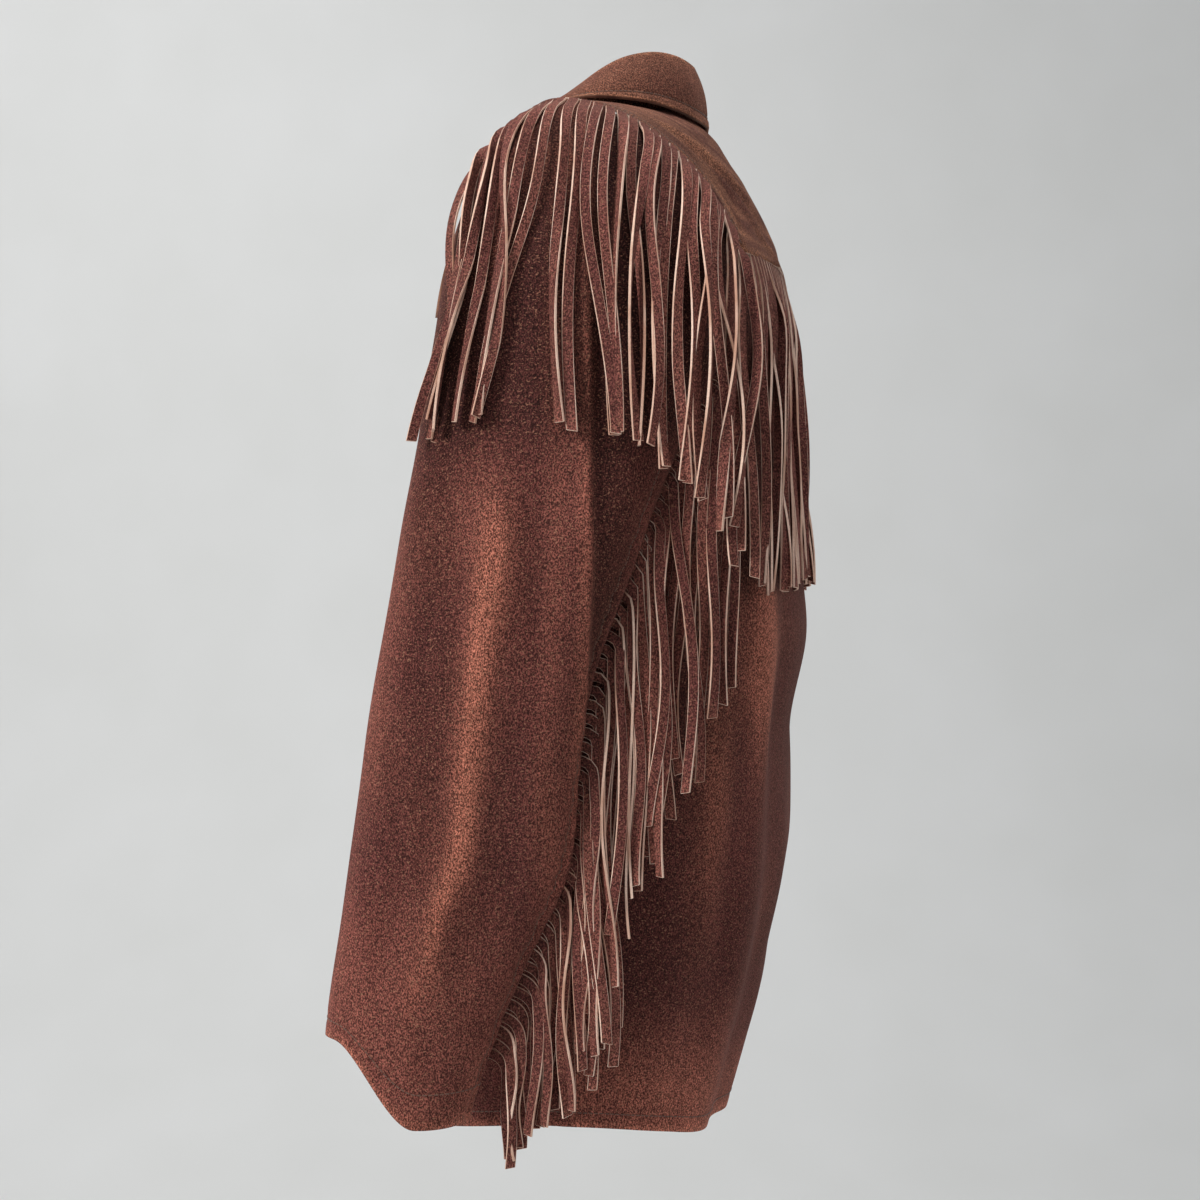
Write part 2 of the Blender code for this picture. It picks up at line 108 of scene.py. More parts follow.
SLEEVE = (
    (0, 0.208, -0.0720, -0.1550, 0.222, 0.000, -0.050,
     0.208, 0.1160, -0.165, 0.2120, 0.012, -0.245, 1.7),
    (1, 0.226, -0.0745, -0.1720, 0.250, -0.003, -0.070,
     0.226, 0.1125, -0.192, 0.2185, 0.010, -0.262, 1.9),
    (2, 0.239, -0.0782, -0.1980, 0.272, -0.010, -0.112,
     0.237, 0.1050, -0.222, 0.2215, 0.006, -0.284, 2.2),
    (3, 0.246, -0.0812, -0.2350, 0.286, -0.019, -0.175,
     0.243, 0.0925, -0.250, 0.2235, 0.000, -0.308, 2.6),
    (4, 0.250, -0.0892, -0.2820, 0.294, -0.027, -0.250,
     0.247, 0.0735, -0.288, 0.2250, -0.008, -0.335, 2.8),
    (5, 0.252, -0.1017, -0.3350, 0.299, -0.034, -0.325,
     0.252, 0.0526, -0.337, 0.2270, -0.018, -0.372, 2.8),
    (6, 0.254, -0.1125, -0.4090, 0.300, -0.041, -0.405,
     0.256, 0.0285, -0.412, 0.2290, -0.035, -0.430, 2.6),
    (7, 0.255, -0.1245, -0.4730, 0.300, -0.050, -0.480,
     0.259, 0.0155, -0.478, 0.2300, -0.048, -0.490, 2.3),
    (8, 0.255, -0.1355, -0.5400, 0.299, -0.060, -0.545,
     0.261, 0.0040, -0.545, 0.2310, -0.058, -0.550, 2.1),
    (9, 0.254, -0.1412, -0.6000, 0.296, -0.075, -0.605,
     0.261, -0.0190, -0.603, 0.2310, -0.072, -0.608, 2.0),
    (10, 0.252, -0.1467, -0.6545, 0.293, -0.085, -0.706,
     0.258, -0.0555, -0.706, 0.2300, -0.085, -0.706, 2.0),
)
LAST_RING = 10
LOBE_SHIFT = 0.011             # of the end's lowest point behind the outer line
HEAD_FULLNESS = 1.85
QUARTER_FULLNESS = 2.2
FRONT_SLEEVE_SEAM = -0.30
BACK_SLEEVE_SEAM = 2
COLLAR = (
    (0, 0.0460, 0.000, 6.15),
    (30, 0.0455, 0.225, 6.45),
    (60, 0.0360, 0.400, 7.50),
    (90, 0.0100, 0.500, 9.50),
    (120, 0.0075, 0.500, 12.00),
    (150, 0.0075, 0.400, 14.30),
)
COLLAR_END = 150
STAND_END = 152
COLLAR_LIFT = 0.0060
COLLAR_EDGE_LIFT = 0.0046
COLLAR_HEIGHT = 0.04           # over which the stand leans by STAND_LEAN
STAND_CLEAR = 0.0034
STAND_LEAN = 0.005
STAND_INSET = 0.045
SLEEVE_FRINGE = (
    (2.0, 0.216), (3.0, 0.214), (4.0, 0.214), (5.0, 0.208), (6.0, 0.197), (7.0, 0.176),
    (7.8, 0.152), (8.5, 0.136), (9.0, 0.114), (9.35, 0.094), (9.6, 0.078),
)

# Cells across and along each wall
GRIDS = {
    "back": (150, 168),
    "yoke": (210, 56),
    "front": (78, 176),
    "collar_inside": (150, 14),
    "collar_outside": (220, 36),
    "sleeve_top": (128, 172),
    "sleeve_under": (56, 150),
}
# The share of a panel's rows that lies below the arms
BACK_LOWER_SHARE = 0.62
FRONT_LOWER_SHARE = 0.60
# Lengths that turn a share of a wall into metres near its edge
YOKE_DEPTH = 0.145
COLLAR_DEPTH = 0.052
FRONT_WIDTH = 0.26
SLEEVE_LENGTH = 0.65
# Distances of the stitching from its edges
HEM_STITCH = 0.011
COLLAR_STITCH = 0.0080
SLEEVE_HEM_STITCH = 0.012
SLEEVE_SEAM_STITCH = 0.0085
FELL_STITCHES = (0.0022, 0.0072)
STITCH_PITCH = 0.0036
STITCH_LENGTH = 0.0026
STITCH_RADIUS = 0.00042

# Long folds: height, place across, lean, level of that place, width, middle level, reach
BACK_FOLDS = (
    (0.0042, 0.150, 0.06, -0.41, 0.017, -0.415, 0.085),
    (-0.0030, 0.120, 0.05, -0.45, 0.020, -0.44, 0.10),
    (0.0034, 0.182, 0.03, -0.50, 0.012, -0.52, 0.10),
    (-0.0032, 0.168, -0.05, -0.60, 0.014, -0.60, 0.12),
    (0.0038, -0.140, -0.08, -0.43, 0.020, -0.43, 0.09),
    (-0.0034, -0.105, -0.05, -0.50, 0.022, -0.50, 0.12),
)
BACK_RUBS = (
    (1.10, 0.150, 0.06, -0.41, 0.014, -0.425, 0.060),
    (0.55, 0.182, 0.03, -0.50, 0.010, -0.50, 0.09),
    (0.34, -0.140, -0.08, -0.43, 0.014, -0.43, 0.07),
)
FRONT_FOLDS = (
    (0.0045, 0.130, -0.20, -0.30, 0.018, -0.33, 0.11),
    (-0.0036, 0.155, -0.16, -0.34, 0.018, -0.36, 0.10),
)
FRONT_RUBS = (
    (0.35, 0.130, -0.20, -0.30, 0.016, -0.33, 0.11),
)
# The same for the folds across the yoke, whose place is a level
YOKE_FOLDS = (
    (0.0034, -0.052, 0.62, 0.20, 0.0075, 0.165, 0.045),
    (-0.0026, -0.068, 0.62, 0.20, 0.0080, 0.160, 0.040),
    (0.0028, -0.092, 0.85, 0.19, 0.0080, 0.160, 0.040),
)
YOKE_RUBS = (
    (0.40, -0.052, 0.62, 0.20, 0.006, 0.165, 0.045),
)
# Level, height and reach of the waves down the middle of the back
BACK_WAVES = (
    (-0.40, 0.0036, 0.030), (-0.465, -0.0032, 0.028),
    (-0.555, 0.0034, 0.038), (-0.632, -0.0030, 0.032),
)
# The sleeve's pressed fold and worn ridge: level and place from front to back
FOLD_LINE = ((-0.50, 0.0164), (-0.435, 0.0193), (-0.384, 0.0222), (-0.352, 0.0243),
             (-0.2765, 0.0241))
RIDGE_LINE = ((-0.66, -0.0850), (-0.603, -0.0772), (-0.569, -0.0693), (-0.531, -0.0552),
              (-0.501, -0.0531), (-0.448, -0.0457), (-0.404, -0.0407), (-0.339, -0.0332))


# ---------------------------------------------------------------- the jacket's surfaces

def table_row(table, place):
    """The row at a place in a table's first column, on a smooth curve through its rows."""
    keys = [row[0] for row in table]
    place = min(max(place, keys[0]), keys[-1])
    low = min(bisect_right(keys, place) - 1, len(keys) - 2)
    span = keys[low + 1] - keys[low]
    t = (place - keys[low]) / span

    def slope(index, column):
        before, after = max(index - 1, 0), min(index + 1, len(keys) - 1)
        return (table[after][column] - table[before][column]) / (keys[after] - keys[before])

    row = []
    for column in range(1, len(table[0])):
        start, end = table[low][column], table[low + 1][column]
        m0, m1 = slope(low, column) * span, slope(low + 1, column) * span
        row.append((2 * t**3 - 3 * t**2 + 1) * start + (t**3 - 2 * t**2 + t) * m0
                   + (3 * t**2 - 2 * t**3) * end + (t**3 - t**2) * m1)
    return row


def smoothstep(t):
    t = min(max(t, 0.0), 1.0)
    return t * t * (3 - 2 * t)


def lerp(a, b, t):
    return a + (b - a) * t


def hump(distance, width):
    return math.exp(-(distance / width) ** 2)


def ripple(x, y, z):
    return noise.noise(Vector((x, y, z)))


def patches(x, y, z, rise):
    """Soft-edged patches, 0 to 1."""
    return smoothstep(ripple(x, y, z) * rise)


def along(points, place):
    """The value at a place in a short table of (place, value) pairs."""
    return float(np.interp(place, [p for p, _ in points], [v for _, v in points]))


def walked(points):
    """How far along a line of points each one lies."""
    lengths = [0.0]
    for start, end in zip(points, points[1:]):
        lengths.append(lengths[-1] + (end - start).length)
    return lengths


def flipped(point):
    """The same point on the wearer's other side."""
    return Vector((-point.x, point.y, point.z))


def ring_point(lines, fullness, place):
    """A point on the closed ring through four points: 0 front, 1 outer, 2 seam, 3 inner."""
    place %= 4
    quarter = int(place)
    turn = (place - quarter) * math.pi / 2
    start, end = lines[quarter], lines[(quarter + 1) % 4]
    leaving = max(math.cos(turn), 0.0) ** (2 / fullness[quarter])
    arriving = max(math.sin(turn), 0.0) ** (2 / fullness[quarter])
    if quarter % 2 == 0:
        across = start.lerp(end, arriving)
        depth = lerp(end.y, start.y, leaving)
    else:
        across = end.lerp(start, leaving)
        depth = lerp(start.y, end.y, arriving)
    return Vector((across.x, depth, across.z))


def sleeve_point(station, place):
    """A point on the left sleeve: station 0 to 10 along it, place 0 to 4 round it."""
    row = table_row(SLEEVE, station)
    lines = [Vector(row[3 * i:3 * i + 3]) for i in range(4)]
    head = lerp(HEAD_FULLNESS, QUARTER_FULLNESS, smoothstep(station / 3))
    fullness = (head, row[12], QUARTER_FULLNESS, QUARTER_FULLNESS)
    point = ring_point(lines, fullness, place)
    drop = smoothstep((station - LAST_RING + 1.5) / 1.5)
    front, lobe = lines[0], lines[1]
    low_y = lobe.y + LOBE_SHIFT
    fallen = smoothstep(((point.y - front.y) / (low_y - front.y) - 0.1) / 0.75)
    shaped = lerp(front.z, lobe.z, fallen)
    point.z = lerp(point.z, shaped, drop)
    return point


def armhole(place):
    return sleeve_point(0, place)


def torso_row(middle_y, middle_z, edge, fullness, softness, across):
    side = min(abs(across), 1.0)
    bow = (1 - side ** fullness) ** softness
    return Vector((math.copysign(edge.x * side, across),
                   lerp(edge.y, middle_y, bow),
                   lerp(middle_z, edge.z, side)))


def lower_torso(z, across, back):
    """The body below the arms at a level; across is -1 to 1 between the side seams."""
    half_width, side_y, back_y, front_y, fullness, softness = table_row(BODY, z)
    middle_y = back_y if back else front_y
    low = (z - UNDERARM_Z) / (HEM_Z - UNDERARM_Z)
    edge = Vector((half_width, side_y, z))
    point = torso_row(middle_y, z, edge, fullness, softness, across)
    point.z = z + HEM_RISE * low ** 3 * abs(across) ** 3.5
    return point


def upper_torso(station, across):
    """The body above the arms; across is -1 to 1 between the armholes."""
    middle_y, middle_z, place, fullness, softness = table_row(SHOULDERS, station)
    return torso_row(middle_y, middle_z, armhole(place), fullness, softness, across)


def torso_normal(station, across):
    step = 0.02
    length = upper_torso(station + step, across) - upper_torso(station - step, across)
    side = upper_torso(station, across + step) - upper_torso(station, across - step)
    return length.cross(side).normalized()


ROW_PLACES = [math.sin(step * math.pi / 400) for step in range(201)]
ROW_LENGTHS = walked([lower_torso(ELBOW_Z, place, True) for place in ROW_PLACES])


def even(inner, outer, u):
    """The place at a share u of the way along a row between two places across it."""

    def length_at(place):
        return math.copysign(np.interp(abs(place), ROW_PLACES, ROW_LENGTHS), place)

    length = lerp(length_at(inner), length_at(outer), u)
    return math.copysign(np.interp(abs(length), ROW_LENGTHS, ROW_PLACES), length)


def neckline(angle, inset=0.0):
    turn = math.radians(angle)
    return (NECK_MIDDLE - NECK_HALF * (1 - inset) * math.cos(turn),
            NECK_WIDTH * (1 - inset) * math.sin(turn))


# ---------------------------------------------------------------- materials

class Nodes:
    """Short calls to add and join shader nodes in one tree."""

    def __init__(self, tree):
        self.tree = tree

    def add(self, kind, **settings):
        node = self.tree.nodes.new(kind)
        for key, value in settings.items():
            setattr(node, key, value)
        return node

    def put(self, socket, value):
        if isinstance(value, bpy.types.NodeSocket):
            self.tree.links.new(value, socket)
        else:
            socket.default_value = value

    def place(self):
        return self.add("ShaderNodeTexCoord").outputs["Object"]

    def noise(self, coordinate, scale, detail=3.0, roughness=0.6):
        node = self.add("ShaderNodeTexNoise")
        self.put(node.inputs["Vector"], coordinate)
        self.put(node.inputs["Scale"], scale)
        self.put(node.inputs["Detail"], detail)
        self.put(node.inputs["Roughness"], roughness)
        return node.outputs["Fac"]

    def span(self, value, low, high, to_low=0.0, to_high=1.0):
        node = self.add("ShaderNodeMapRange", clamp=True)
        self.put(node.inputs["Value"], value)
        for name, number in (("From Min", low), ("From Max", high),
                             ("To Min", to_low), ("To Max", to_high)):
            self.put(node.inputs[name], number)
        return node.outputs["Result"]

    def math(self, operation, first, second):
        node = self.add("ShaderNodeMath", operation=operation)
        self.put(node.inputs[0], first)
        self.put(node.inputs[1], second)
        return node.outputs[0]

    def mix(self, factor, first, second):
        node = self.add("ShaderNodeMix", data_type="RGBA")
        self.put(node.inputs["Factor"], factor)
        self.put(node.inputs["A"], first)
        self.put(node.inputs["B"], second)
        return node.outputs["Result"]

    def scaled(self, colour, factor):
        node = self.add("ShaderNodeVectorMath", operation="SCALE")
        self.put(node.inputs[0], colour)
        self.put(node.inputs["Scale"], factor)
        return node.outputs[0]

    def stretched(self, coordinate, scale):
        node = self.add("ShaderNodeMapping")
        self.put(node.inputs["Vector"], coordinate)
        self.put(node.inputs["Scale"], scale)
        return node.outputs["Vector"]

    def attribute(self, name):
        return self.add("ShaderNodeAttribute", attribute_name=name).outputs["Fac"]

    def bump(self, height, distance, strength, normal=None):
        node = self.add("ShaderNodeBump")
        self.put(node.inputs["Height"], height)
        self.put(node.inputs["Distance"], distance)
        self.put(node.inputs["Strength"], strength)
        if normal is not None:
            self.put(node.inputs["Normal"], normal)
        return node.outputs["Normal"]


def suede_group():
    """Mottled, brushed nap with worn places, darkened by painted shade from the Shade input:
    colour, roughness and normal.
    """
    tree = bpy.data.node_groups.new("suede_nap", "ShaderNodeTree")
    for name, way, kind in (("Colour", "INPUT", "Color"), ("Worn Colour", "INPUT", "Color"),
                            ("Worn", "INPUT", "Float"), ("Shade", "INPUT", "Float"),
                            ("Colour", "OUTPUT", "Color"), ("Roughness", "OUTPUT", "Float"),
                            ("Normal", "OUTPUT", "Vector")):
        tree.interface.new_socket(name, in_out=way, socket_type="NodeSocket" + kind)
    make = Nodes(tree)
    given = make.add("NodeGroupInput").outputs
    out = make.add("NodeGroupOutput").inputs
    place = make.place()
    down = make.stretched(place, (1.0, 1.0, 0.32))
    broad = make.noise(down, 11.0, 3.0, 0.55)
    clouds = make.noise(down, 46.0, 4.0, 0.62)
    blotches = make.noise(place, 330.0)
    strokes = make.noise(make.stretched(place, (1.0, 1.0, 0.16)), 75.0)
    fibre = make.noise(make.stretched(place, (1.0, 1.0, 0.7)), 1150.0, 2.0)
    spark = make.noise(make.stretched(place, (1.0, 0.6, 1.0)), 1000.0, 1.0, 0.5)

    # Random mottling and fibre, multiplied by painted shade: the Shade input darkens the colour
    # down to 0.34.
    tone_and_shade = make.span(broad, 0.32, 0.68, 0.84, 1.16)
    for layer in (make.span(clouds, 0.30, 0.70, 0.90, 1.10),
                  make.span(blotches, 0.30, 0.70, 0.84, 1.16),
                  make.span(fibre, 0.42, 0.70, 0.46, 2.60),
                  make.span(given["Shade"], 0.0, 1.0, 1.0, 0.34)):
        tone_and_shade = make.math("MULTIPLY", tone_and_shade, layer)

    rub = make.math("MULTIPLY", given["Worn"], make.span(strokes, 0.32, 0.64, 0.78, 1.10))
    rub = make.math("MULTIPLY", rub, make.span(fibre, 0.36, 0.62, 0.55, 1.25))
    colour = make.mix(make.span(rub, 0.0, 1.0), given["Colour"], given["Worn Colour"])
    bright = make.math("MULTIPLY", make.span(spark, 0.60, 0.72), 0.62)
    fleck = (0.40, 0.19, 0.12, 1.0)
    make.put(out["Colour"], make.mix(bright, make.scaled(colour, tone_and_shade), fleck))
    make.put(out["Roughness"], make.span(clouds, 0.3, 0.7, 0.92, 0.78))
    height = make.math("ADD", make.math("MULTIPLY", fibre, 0.7), make.math("MULTIPLY", spark, 0.3))
    fine = make.bump(height, 0.0010, 0.8)
    make.put(out["Normal"], make.bump(blotches, 0.0016, 0.45, fine))
    return tree


SUEDE_NAP = suede_group()


def new_material(name, constants):
    """A material with its constants set: the material, its node maker and its shader."""
    made = bpy.data.materials.new(name)
    made.use_nodes = True
    shader = made.node_tree.nodes["Principled BSDF"]
    for socket, value in constants.items():
        shader.inputs[socket].default_value = value
    return made, Nodes(made.node_tree), shader


def suede_material(name, colour, worn_colour):
    made, make, shader = new_material(name, {
        "Specular IOR Level": 0.12, "Sheen Weight": 0.14, "Sheen Roughness": 0.42,
        "Sheen Tint": (0.90, 0.45, 0.34, 1.0)})
    nap = make.add("ShaderNodeGroup", node_tree=SUEDE_NAP)
    make.put(nap.inputs["Colour"], colour)
    make.put(nap.inputs["Worn Colour"], worn_colour)
    make.put(nap.inputs["Worn"], make.attribute("worn"))
    # The shade attribute is painted shade: it darkens the nap's colour.
    make.put(nap.inputs["Shade"], make.attribute("shade"))
    make.put(shader.inputs["Base Color"], nap.outputs["Colour"])
    make.put(shader.inputs["Roughness"], nap.outputs["Roughness"])
    make.put(shader.inputs["Normal"], nap.outputs["Normal"])
    made.diffuse_color = colour
    return made


def edge_material(name, light, dark):
    """The pale split core of the leather where it is cut, darkened by the painted shade attribute.
    """
    made, make, shader = new_material(name, {
        "Roughness": 0.9, "Specular IOR Level": 0.15, "Sheen Weight": 0.3,
        "Sheen Tint": (0.95, 0.75, 0.62, 1.0)})
    place = make.place()
    stain = make.noise(make.stretched(place, (1.0, 1.0, 0.3)), 60.0)
    fuzz = make.noise(place, 1100.0, 2.0)
    colour = make.mix(make.span(stain, 0.38, 0.62), light, dark)
    colour = make.mix(make.span(fuzz, 0.48, 0.70, 0.0, 0.55), colour, dark)
    # Painted shade: the shade attribute darkens the edge colour down to 0.12.
    shade = make.span(make.attribute("shade"), 0.0, 1.0, 1.0, 0.12)
    make.put(shader.inputs["Base Color"], make.scaled(colour, shade))
    make.put(shader.inputs["Normal"], make.bump(fuzz, 0.0006, 0.7))
    return made


def thread_material():
    made, make, shader = new_material("thread", {"Roughness": 0.62, "Sheen Weight": 0.2})
    twist = make.noise(make.place(), 1600.0, 1.0, 0.5)
    colour = make.mix(make.span(twist, 0.4, 0.6), (0.16, 0.075, 0.045, 1.0),
                      (0.085, 0.036, 0.024, 1.0))
    make.put(shader.inputs["Base Color"], colour)
    make.put(shader.inputs["Normal"], make.bump(twist, 0.0003, 0.6))
    return made


def horn_material():
    made, make, shader = new_material("horn_button", {"Coat Weight": 0.25, "Coat Roughness": 0.2})
    place = make.place()
    streak = make.noise(make.stretched(place, (1.0, 1.0, 4.0)), 120.0, 4.0)
    grain = make.noise(place, 700.0, 2.0, 0.5)
    colour = make.mix(make.span(streak, 0.35, 0.65), (0.020, 0.010, 0.007, 1.0),
                      (0.085, 0.042, 0.024, 1.0))
    make.put(shader.inputs["Base Color"], colour)
    make.put(shader.inputs["Roughness"], make.span(grain, 0.3, 0.7, 0.26, 0.42))
    make.put(shader.inputs["Normal"], make.bump(grain, 0.0002, 0.25))
    return made


BODY_SUEDE = suede_material("body_suede", (0.073, 0.0195, 0.0195, 1.0), (0.37, 0.126, 0.084, 1.0))
YOKE_SUEDE = suede_material("yoke_suede", (0.082, 0.0270, 0.0190, 1.0), (0.33, 0.142, 0.078, 1.0))
FRINGE_SUEDE = suede_material("fringe_suede", (0.092, 0.0280, 0.0246, 1.0),
                              (0.24, 0.090, 0.064, 1.0))
CUT_EDGE = edge_material("cut_edge", (0.93, 0.68, 0.55, 1.0), (0.54, 0.30, 0.21, 1.0))
WORN_EDGE = edge_material("worn_edge", (0.30, 0.150, 0.100, 1.0), (0.13, 0.055, 0.038, 1.0))
THREAD = thread_material()
HORN = horn_material()


# ---------------------------------------------------------------- cloth walls

WALLS = {}


def new_piece(name, bm, skins):
    """Turns a bmesh into an object at the origin with its materials."""
    mesh = bpy.data.meshes.new(name)
    bm.to_mesh(mesh)
    bm.free()
    for skin in skins:
        mesh.materials.append(skin)
    obj = bpy.data.objects.new(name, mesh)
    bpy.context.collection.objects.link(obj)
    return obj


def finish_piece(obj, node=None):
    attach(obj, "root")
    if node:
        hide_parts(node)


def wall(name, node, cells, place, skins, crease=None, wear_and_shade=None, thick=SUEDE, flip=False):
    """A fine closed wall over place(u, v), moved along its normals by crease(u, v, point).

    The wear and shade measure at (u, v, point) gives how rubbed each point is and how much painted
    shade darkens it. flip turns the wall to face outwards where place runs the other way round."""
    bm = bmesh.new()
    worn = bm.verts.layers.float.new("worn")
    shade = bm.verts.layers.float.new("shade")
    columns, rows = GRIDS[cells]
    bmesh.ops.create_grid(bm, x_segments=columns, y_segments=rows, size=0.5)
    spots = []
    for vert in bm.verts:
        u, v = vert.co.x + 0.5, vert.co.y + 0.5
        vert.co = place(u, v)
        spots.append((vert, u, v, vert.co.copy()))
    if flip:
        bmesh.ops.reverse_faces(bm, faces=bm.faces)
    bm.normal_update()
    if crease:
        moves = [vert.normal * crease(u, v, point) for vert, u, v, point in spots]
        for (vert, _, _, point), move in zip(spots, moves):
            vert.co = point + move
    for vert, u, v, point in spots:
        vert[worn], vert[shade] = wear_and_shade(u, v, point)
    obj = new_piece(name, bm, skins)
    obj.data.shade_smooth()
    solid = obj.modifiers.new("Thickness", "SOLIDIFY")
    solid.thickness = thick
    solid.offset = -1.0
    solid.material_offset_rim = len(skins) - 1
    finish_piece(obj, node)
    WALLS[name] = obj


def mirrored(place):
    def across(u, v):
        return flipped(place(u, v))
    return across


def mirror_measure(measure, shift):
    """The same creases, or wear and painted shade, on the other side, shifted a little so that
    they differ.
    """
    def other(u, v, point):
        return measure(u, v, Vector((-point.x, point.y, point.z + shift)))
    return other


def above_hem(point):
    """How far a point lies above the curved edge of the hem."""
    return point.z - HEM_Z - HEM_RISE * (abs(point.x) / HEM_HALF) ** 3.5


def folds(table, place, level):
    """The sum of a table's long folds or rubbed streaks at a place and level."""
    total = 0.0
    for height, at, lean, at_level, width, middle, reach in table:
        offset = place - at - lean * (level - at_level)
        total += height * hump(offset, width) * hump(level - middle, reach)
    return total


def body_folds(point, back):
    """Soft folds that hang in the body, deeper towards the hem."""
    x, z = point.x, point.z
    side = abs(x)
    low = smoothstep((-0.30 - z) / 0.30)
    if back:
        total = folds(BACK_FOLDS, x, z)
        free = smoothstep(side / 0.09)
        total += 0.0030 * math.sin(x * 46 + 0.8 + 2.2 * (z + 0.5)) * low * free
        total += 0.0016 * math.sin(x * 83 + 2.0 - 3.0 * (z + 0.5)) * low * free
        middle = 1 - smoothstep((side - 0.05) / 0.12)
        for level, height, reach in BACK_WAVES:
            total += height * middle * hump(z - level + 0.1 * x, reach)
    else:
        total = folds(FRONT_FOLDS, side, z)
        total += 0.0034 * math.sin(x * 40 + 1.9 + 1.6 * (z + 0.5)) * low * smoothstep(side / 0.05)
        total += 0.0014 * math.sin(z * 58 + side * 30) * hump(side - 0.03, 0.03)
    return total + 0.0012 * ripple(x * 14, point.y * 14, z * 9)


def hem_press(edge):
    """The stitched turn of the hem: a shallow groove on its stitches."""
    return -0.0006 * hump(edge - HEM_STITCH, 0.0022)


def armhole_band(side):
    """The felled seam round the armhole: a raised band with two stitched grooves in it."""
    total = 0.0009 * smoothstep((0.0090 - side) / 0.0016)
    for stitch in FELL_STITCHES:
        total -= 0.0007 * hump(side - stitch, 0.0010)
    return total


def back_panel():
    def place(u, v):
        across = even(-1, 1, u)
        if v <= BACK_LOWER_SHARE:
            return lower_torso(lerp(HEM_Z, UNDERARM_Z, v / BACK_LOWER_SHARE), across, True)
        top = (v - BACK_LOWER_SHARE) / (1 - BACK_LOWER_SHARE)
        return upper_torso(top * (YOKE_STATION - 0.010), across)

    def crease(u, v, point):
        side = min(u, 1 - u) * 0.55
        seam = -0.0008 * hump(side - 0.0015, 0.0015) if point.z < UNDERARM_Z else 0.0
        keep = smoothstep(side / 0.02)
        return body_folds(point, True) * lerp(0.35, 1, keep) + hem_press(above_hem(point)) + seam

    def wear_and_shade(u, v, point):
        x, z = point.x, point.z
        edge = above_hem(point)
        worn = 0.10 + 0.60 * hump(edge, 0.006) + 0.30 * hump(edge - 0.02, 0.03)
        worn += folds(BACK_RUBS, x, z) + 0.22 * patches(x * 9, 3.1, z * 7, 2.2)
        # Random darker patches; painted shade beside the sleeves down the sides and under the back
        # fringe; and a darker band round z -0.63 on the wearer's left half.
        shade = 0.35 * patches(x * 7, 8.4, z * 6, 2.4)
        shade += 0.50 * smoothstep((abs(x) - 0.155) / 0.04) * smoothstep((z + 0.70) / 0.2)
        shade += 0.55 * smoothstep((z + 0.378) / 0.025)
        shade += 0.46 * hump(z + 0.630, 0.060) * smoothstep(x / 0.08)
        return worn, shade

    wall("back", "back_panel", "back", place, (BODY_SUEDE, WORN_EDGE), crease, wear_and_shade, flip=True)


def yoke():
    corner = 0.46
    end_angle = math.degrees(math.acos((NECK_MIDDLE - FRONT_SEAM_STATION) / NECK_HALF))

    def place(u, v):
        side = 2 * u - 1
        turn = abs(side)
        inner_station, inner_across = neckline(turn * end_angle)
        if turn <= corner:
            outer_station, outer_across = YOKE_STATION, turn / corner
        else:
            share = (turn - corner) / (1 - corner)
            outer_station, outer_across = lerp(YOKE_STATION, FRONT_SEAM_STATION, share), 1.0
        station = lerp(inner_station, outer_station, v)
        across = lerp(inner_across, outer_across, v)
        return upper_torso(station, math.copysign(across, side))

    def uneven_side(point):
        return abs(point.x) + 0.012 * math.copysign(1, point.x)

    def crease(u, v, point):
        turn = abs(2 * u - 1)
        total = 0.0014 * ripple(point.x * 18, point.y * 18, point.z * 18)
        total += 0.0016 * ripple(turn * 7, v * 9, math.copysign(2, point.x)) * v
        side = uneven_side(point)
        behind = smoothstep(point.y / 0.03) * smoothstep((0.205 - side) / 0.02)
        total += behind * folds(YOKE_FOLDS, point.z, side)
        if turn > corner:
            total += armhole_band((1 - v) * YOKE_DEPTH)
        else:
            total += 0.0022 - 0.0016 * smoothstep((1 - v) * 0.12 / 0.012)
        return total - 0.0007 * hump((1 - turn) * 0.30 - 0.004, 0.0012)

    def wear_and_shade(u, v, point):
        turn = abs(2 * u - 1)
        edge = (1 - v) * 0.14
        worn = 0.24 + 0.42 * ripple(point.x * 24, point.y * 24, point.z * 14)
        worn += 0.60 * ripple(turn * 9, v * 17, math.copysign(3, point.x))
        worn += folds(YOKE_RUBS, point.z, uneven_side(point)) * smoothstep(point.y / 0.03)
        worn += 0.42 * hump(edge, 0.004) + 0.25 * hump(edge - 0.009, 0.0016)
        # Painted shade in two lines along the outer edge, on the armhole seam's stitched grooves,
        # with an even darkening of 0.24 and random patches; all of it is 0.6 as strong across the
        # back.
        shade = 0.24
        for stitch in FELL_STITCHES:
            shade += 0.30 * hump(edge - stitch, 0.0012)
        shade += 0.25 * patches(point.x * 12, 4.0, point.z * 12, 2)
        return worn, shade if turn > corner else shade * 0.6

    wall("yoke_panel", "yoke", "yoke", place, (YOKE_SUEDE, CUT_EDGE), crease, wear_and_shade)


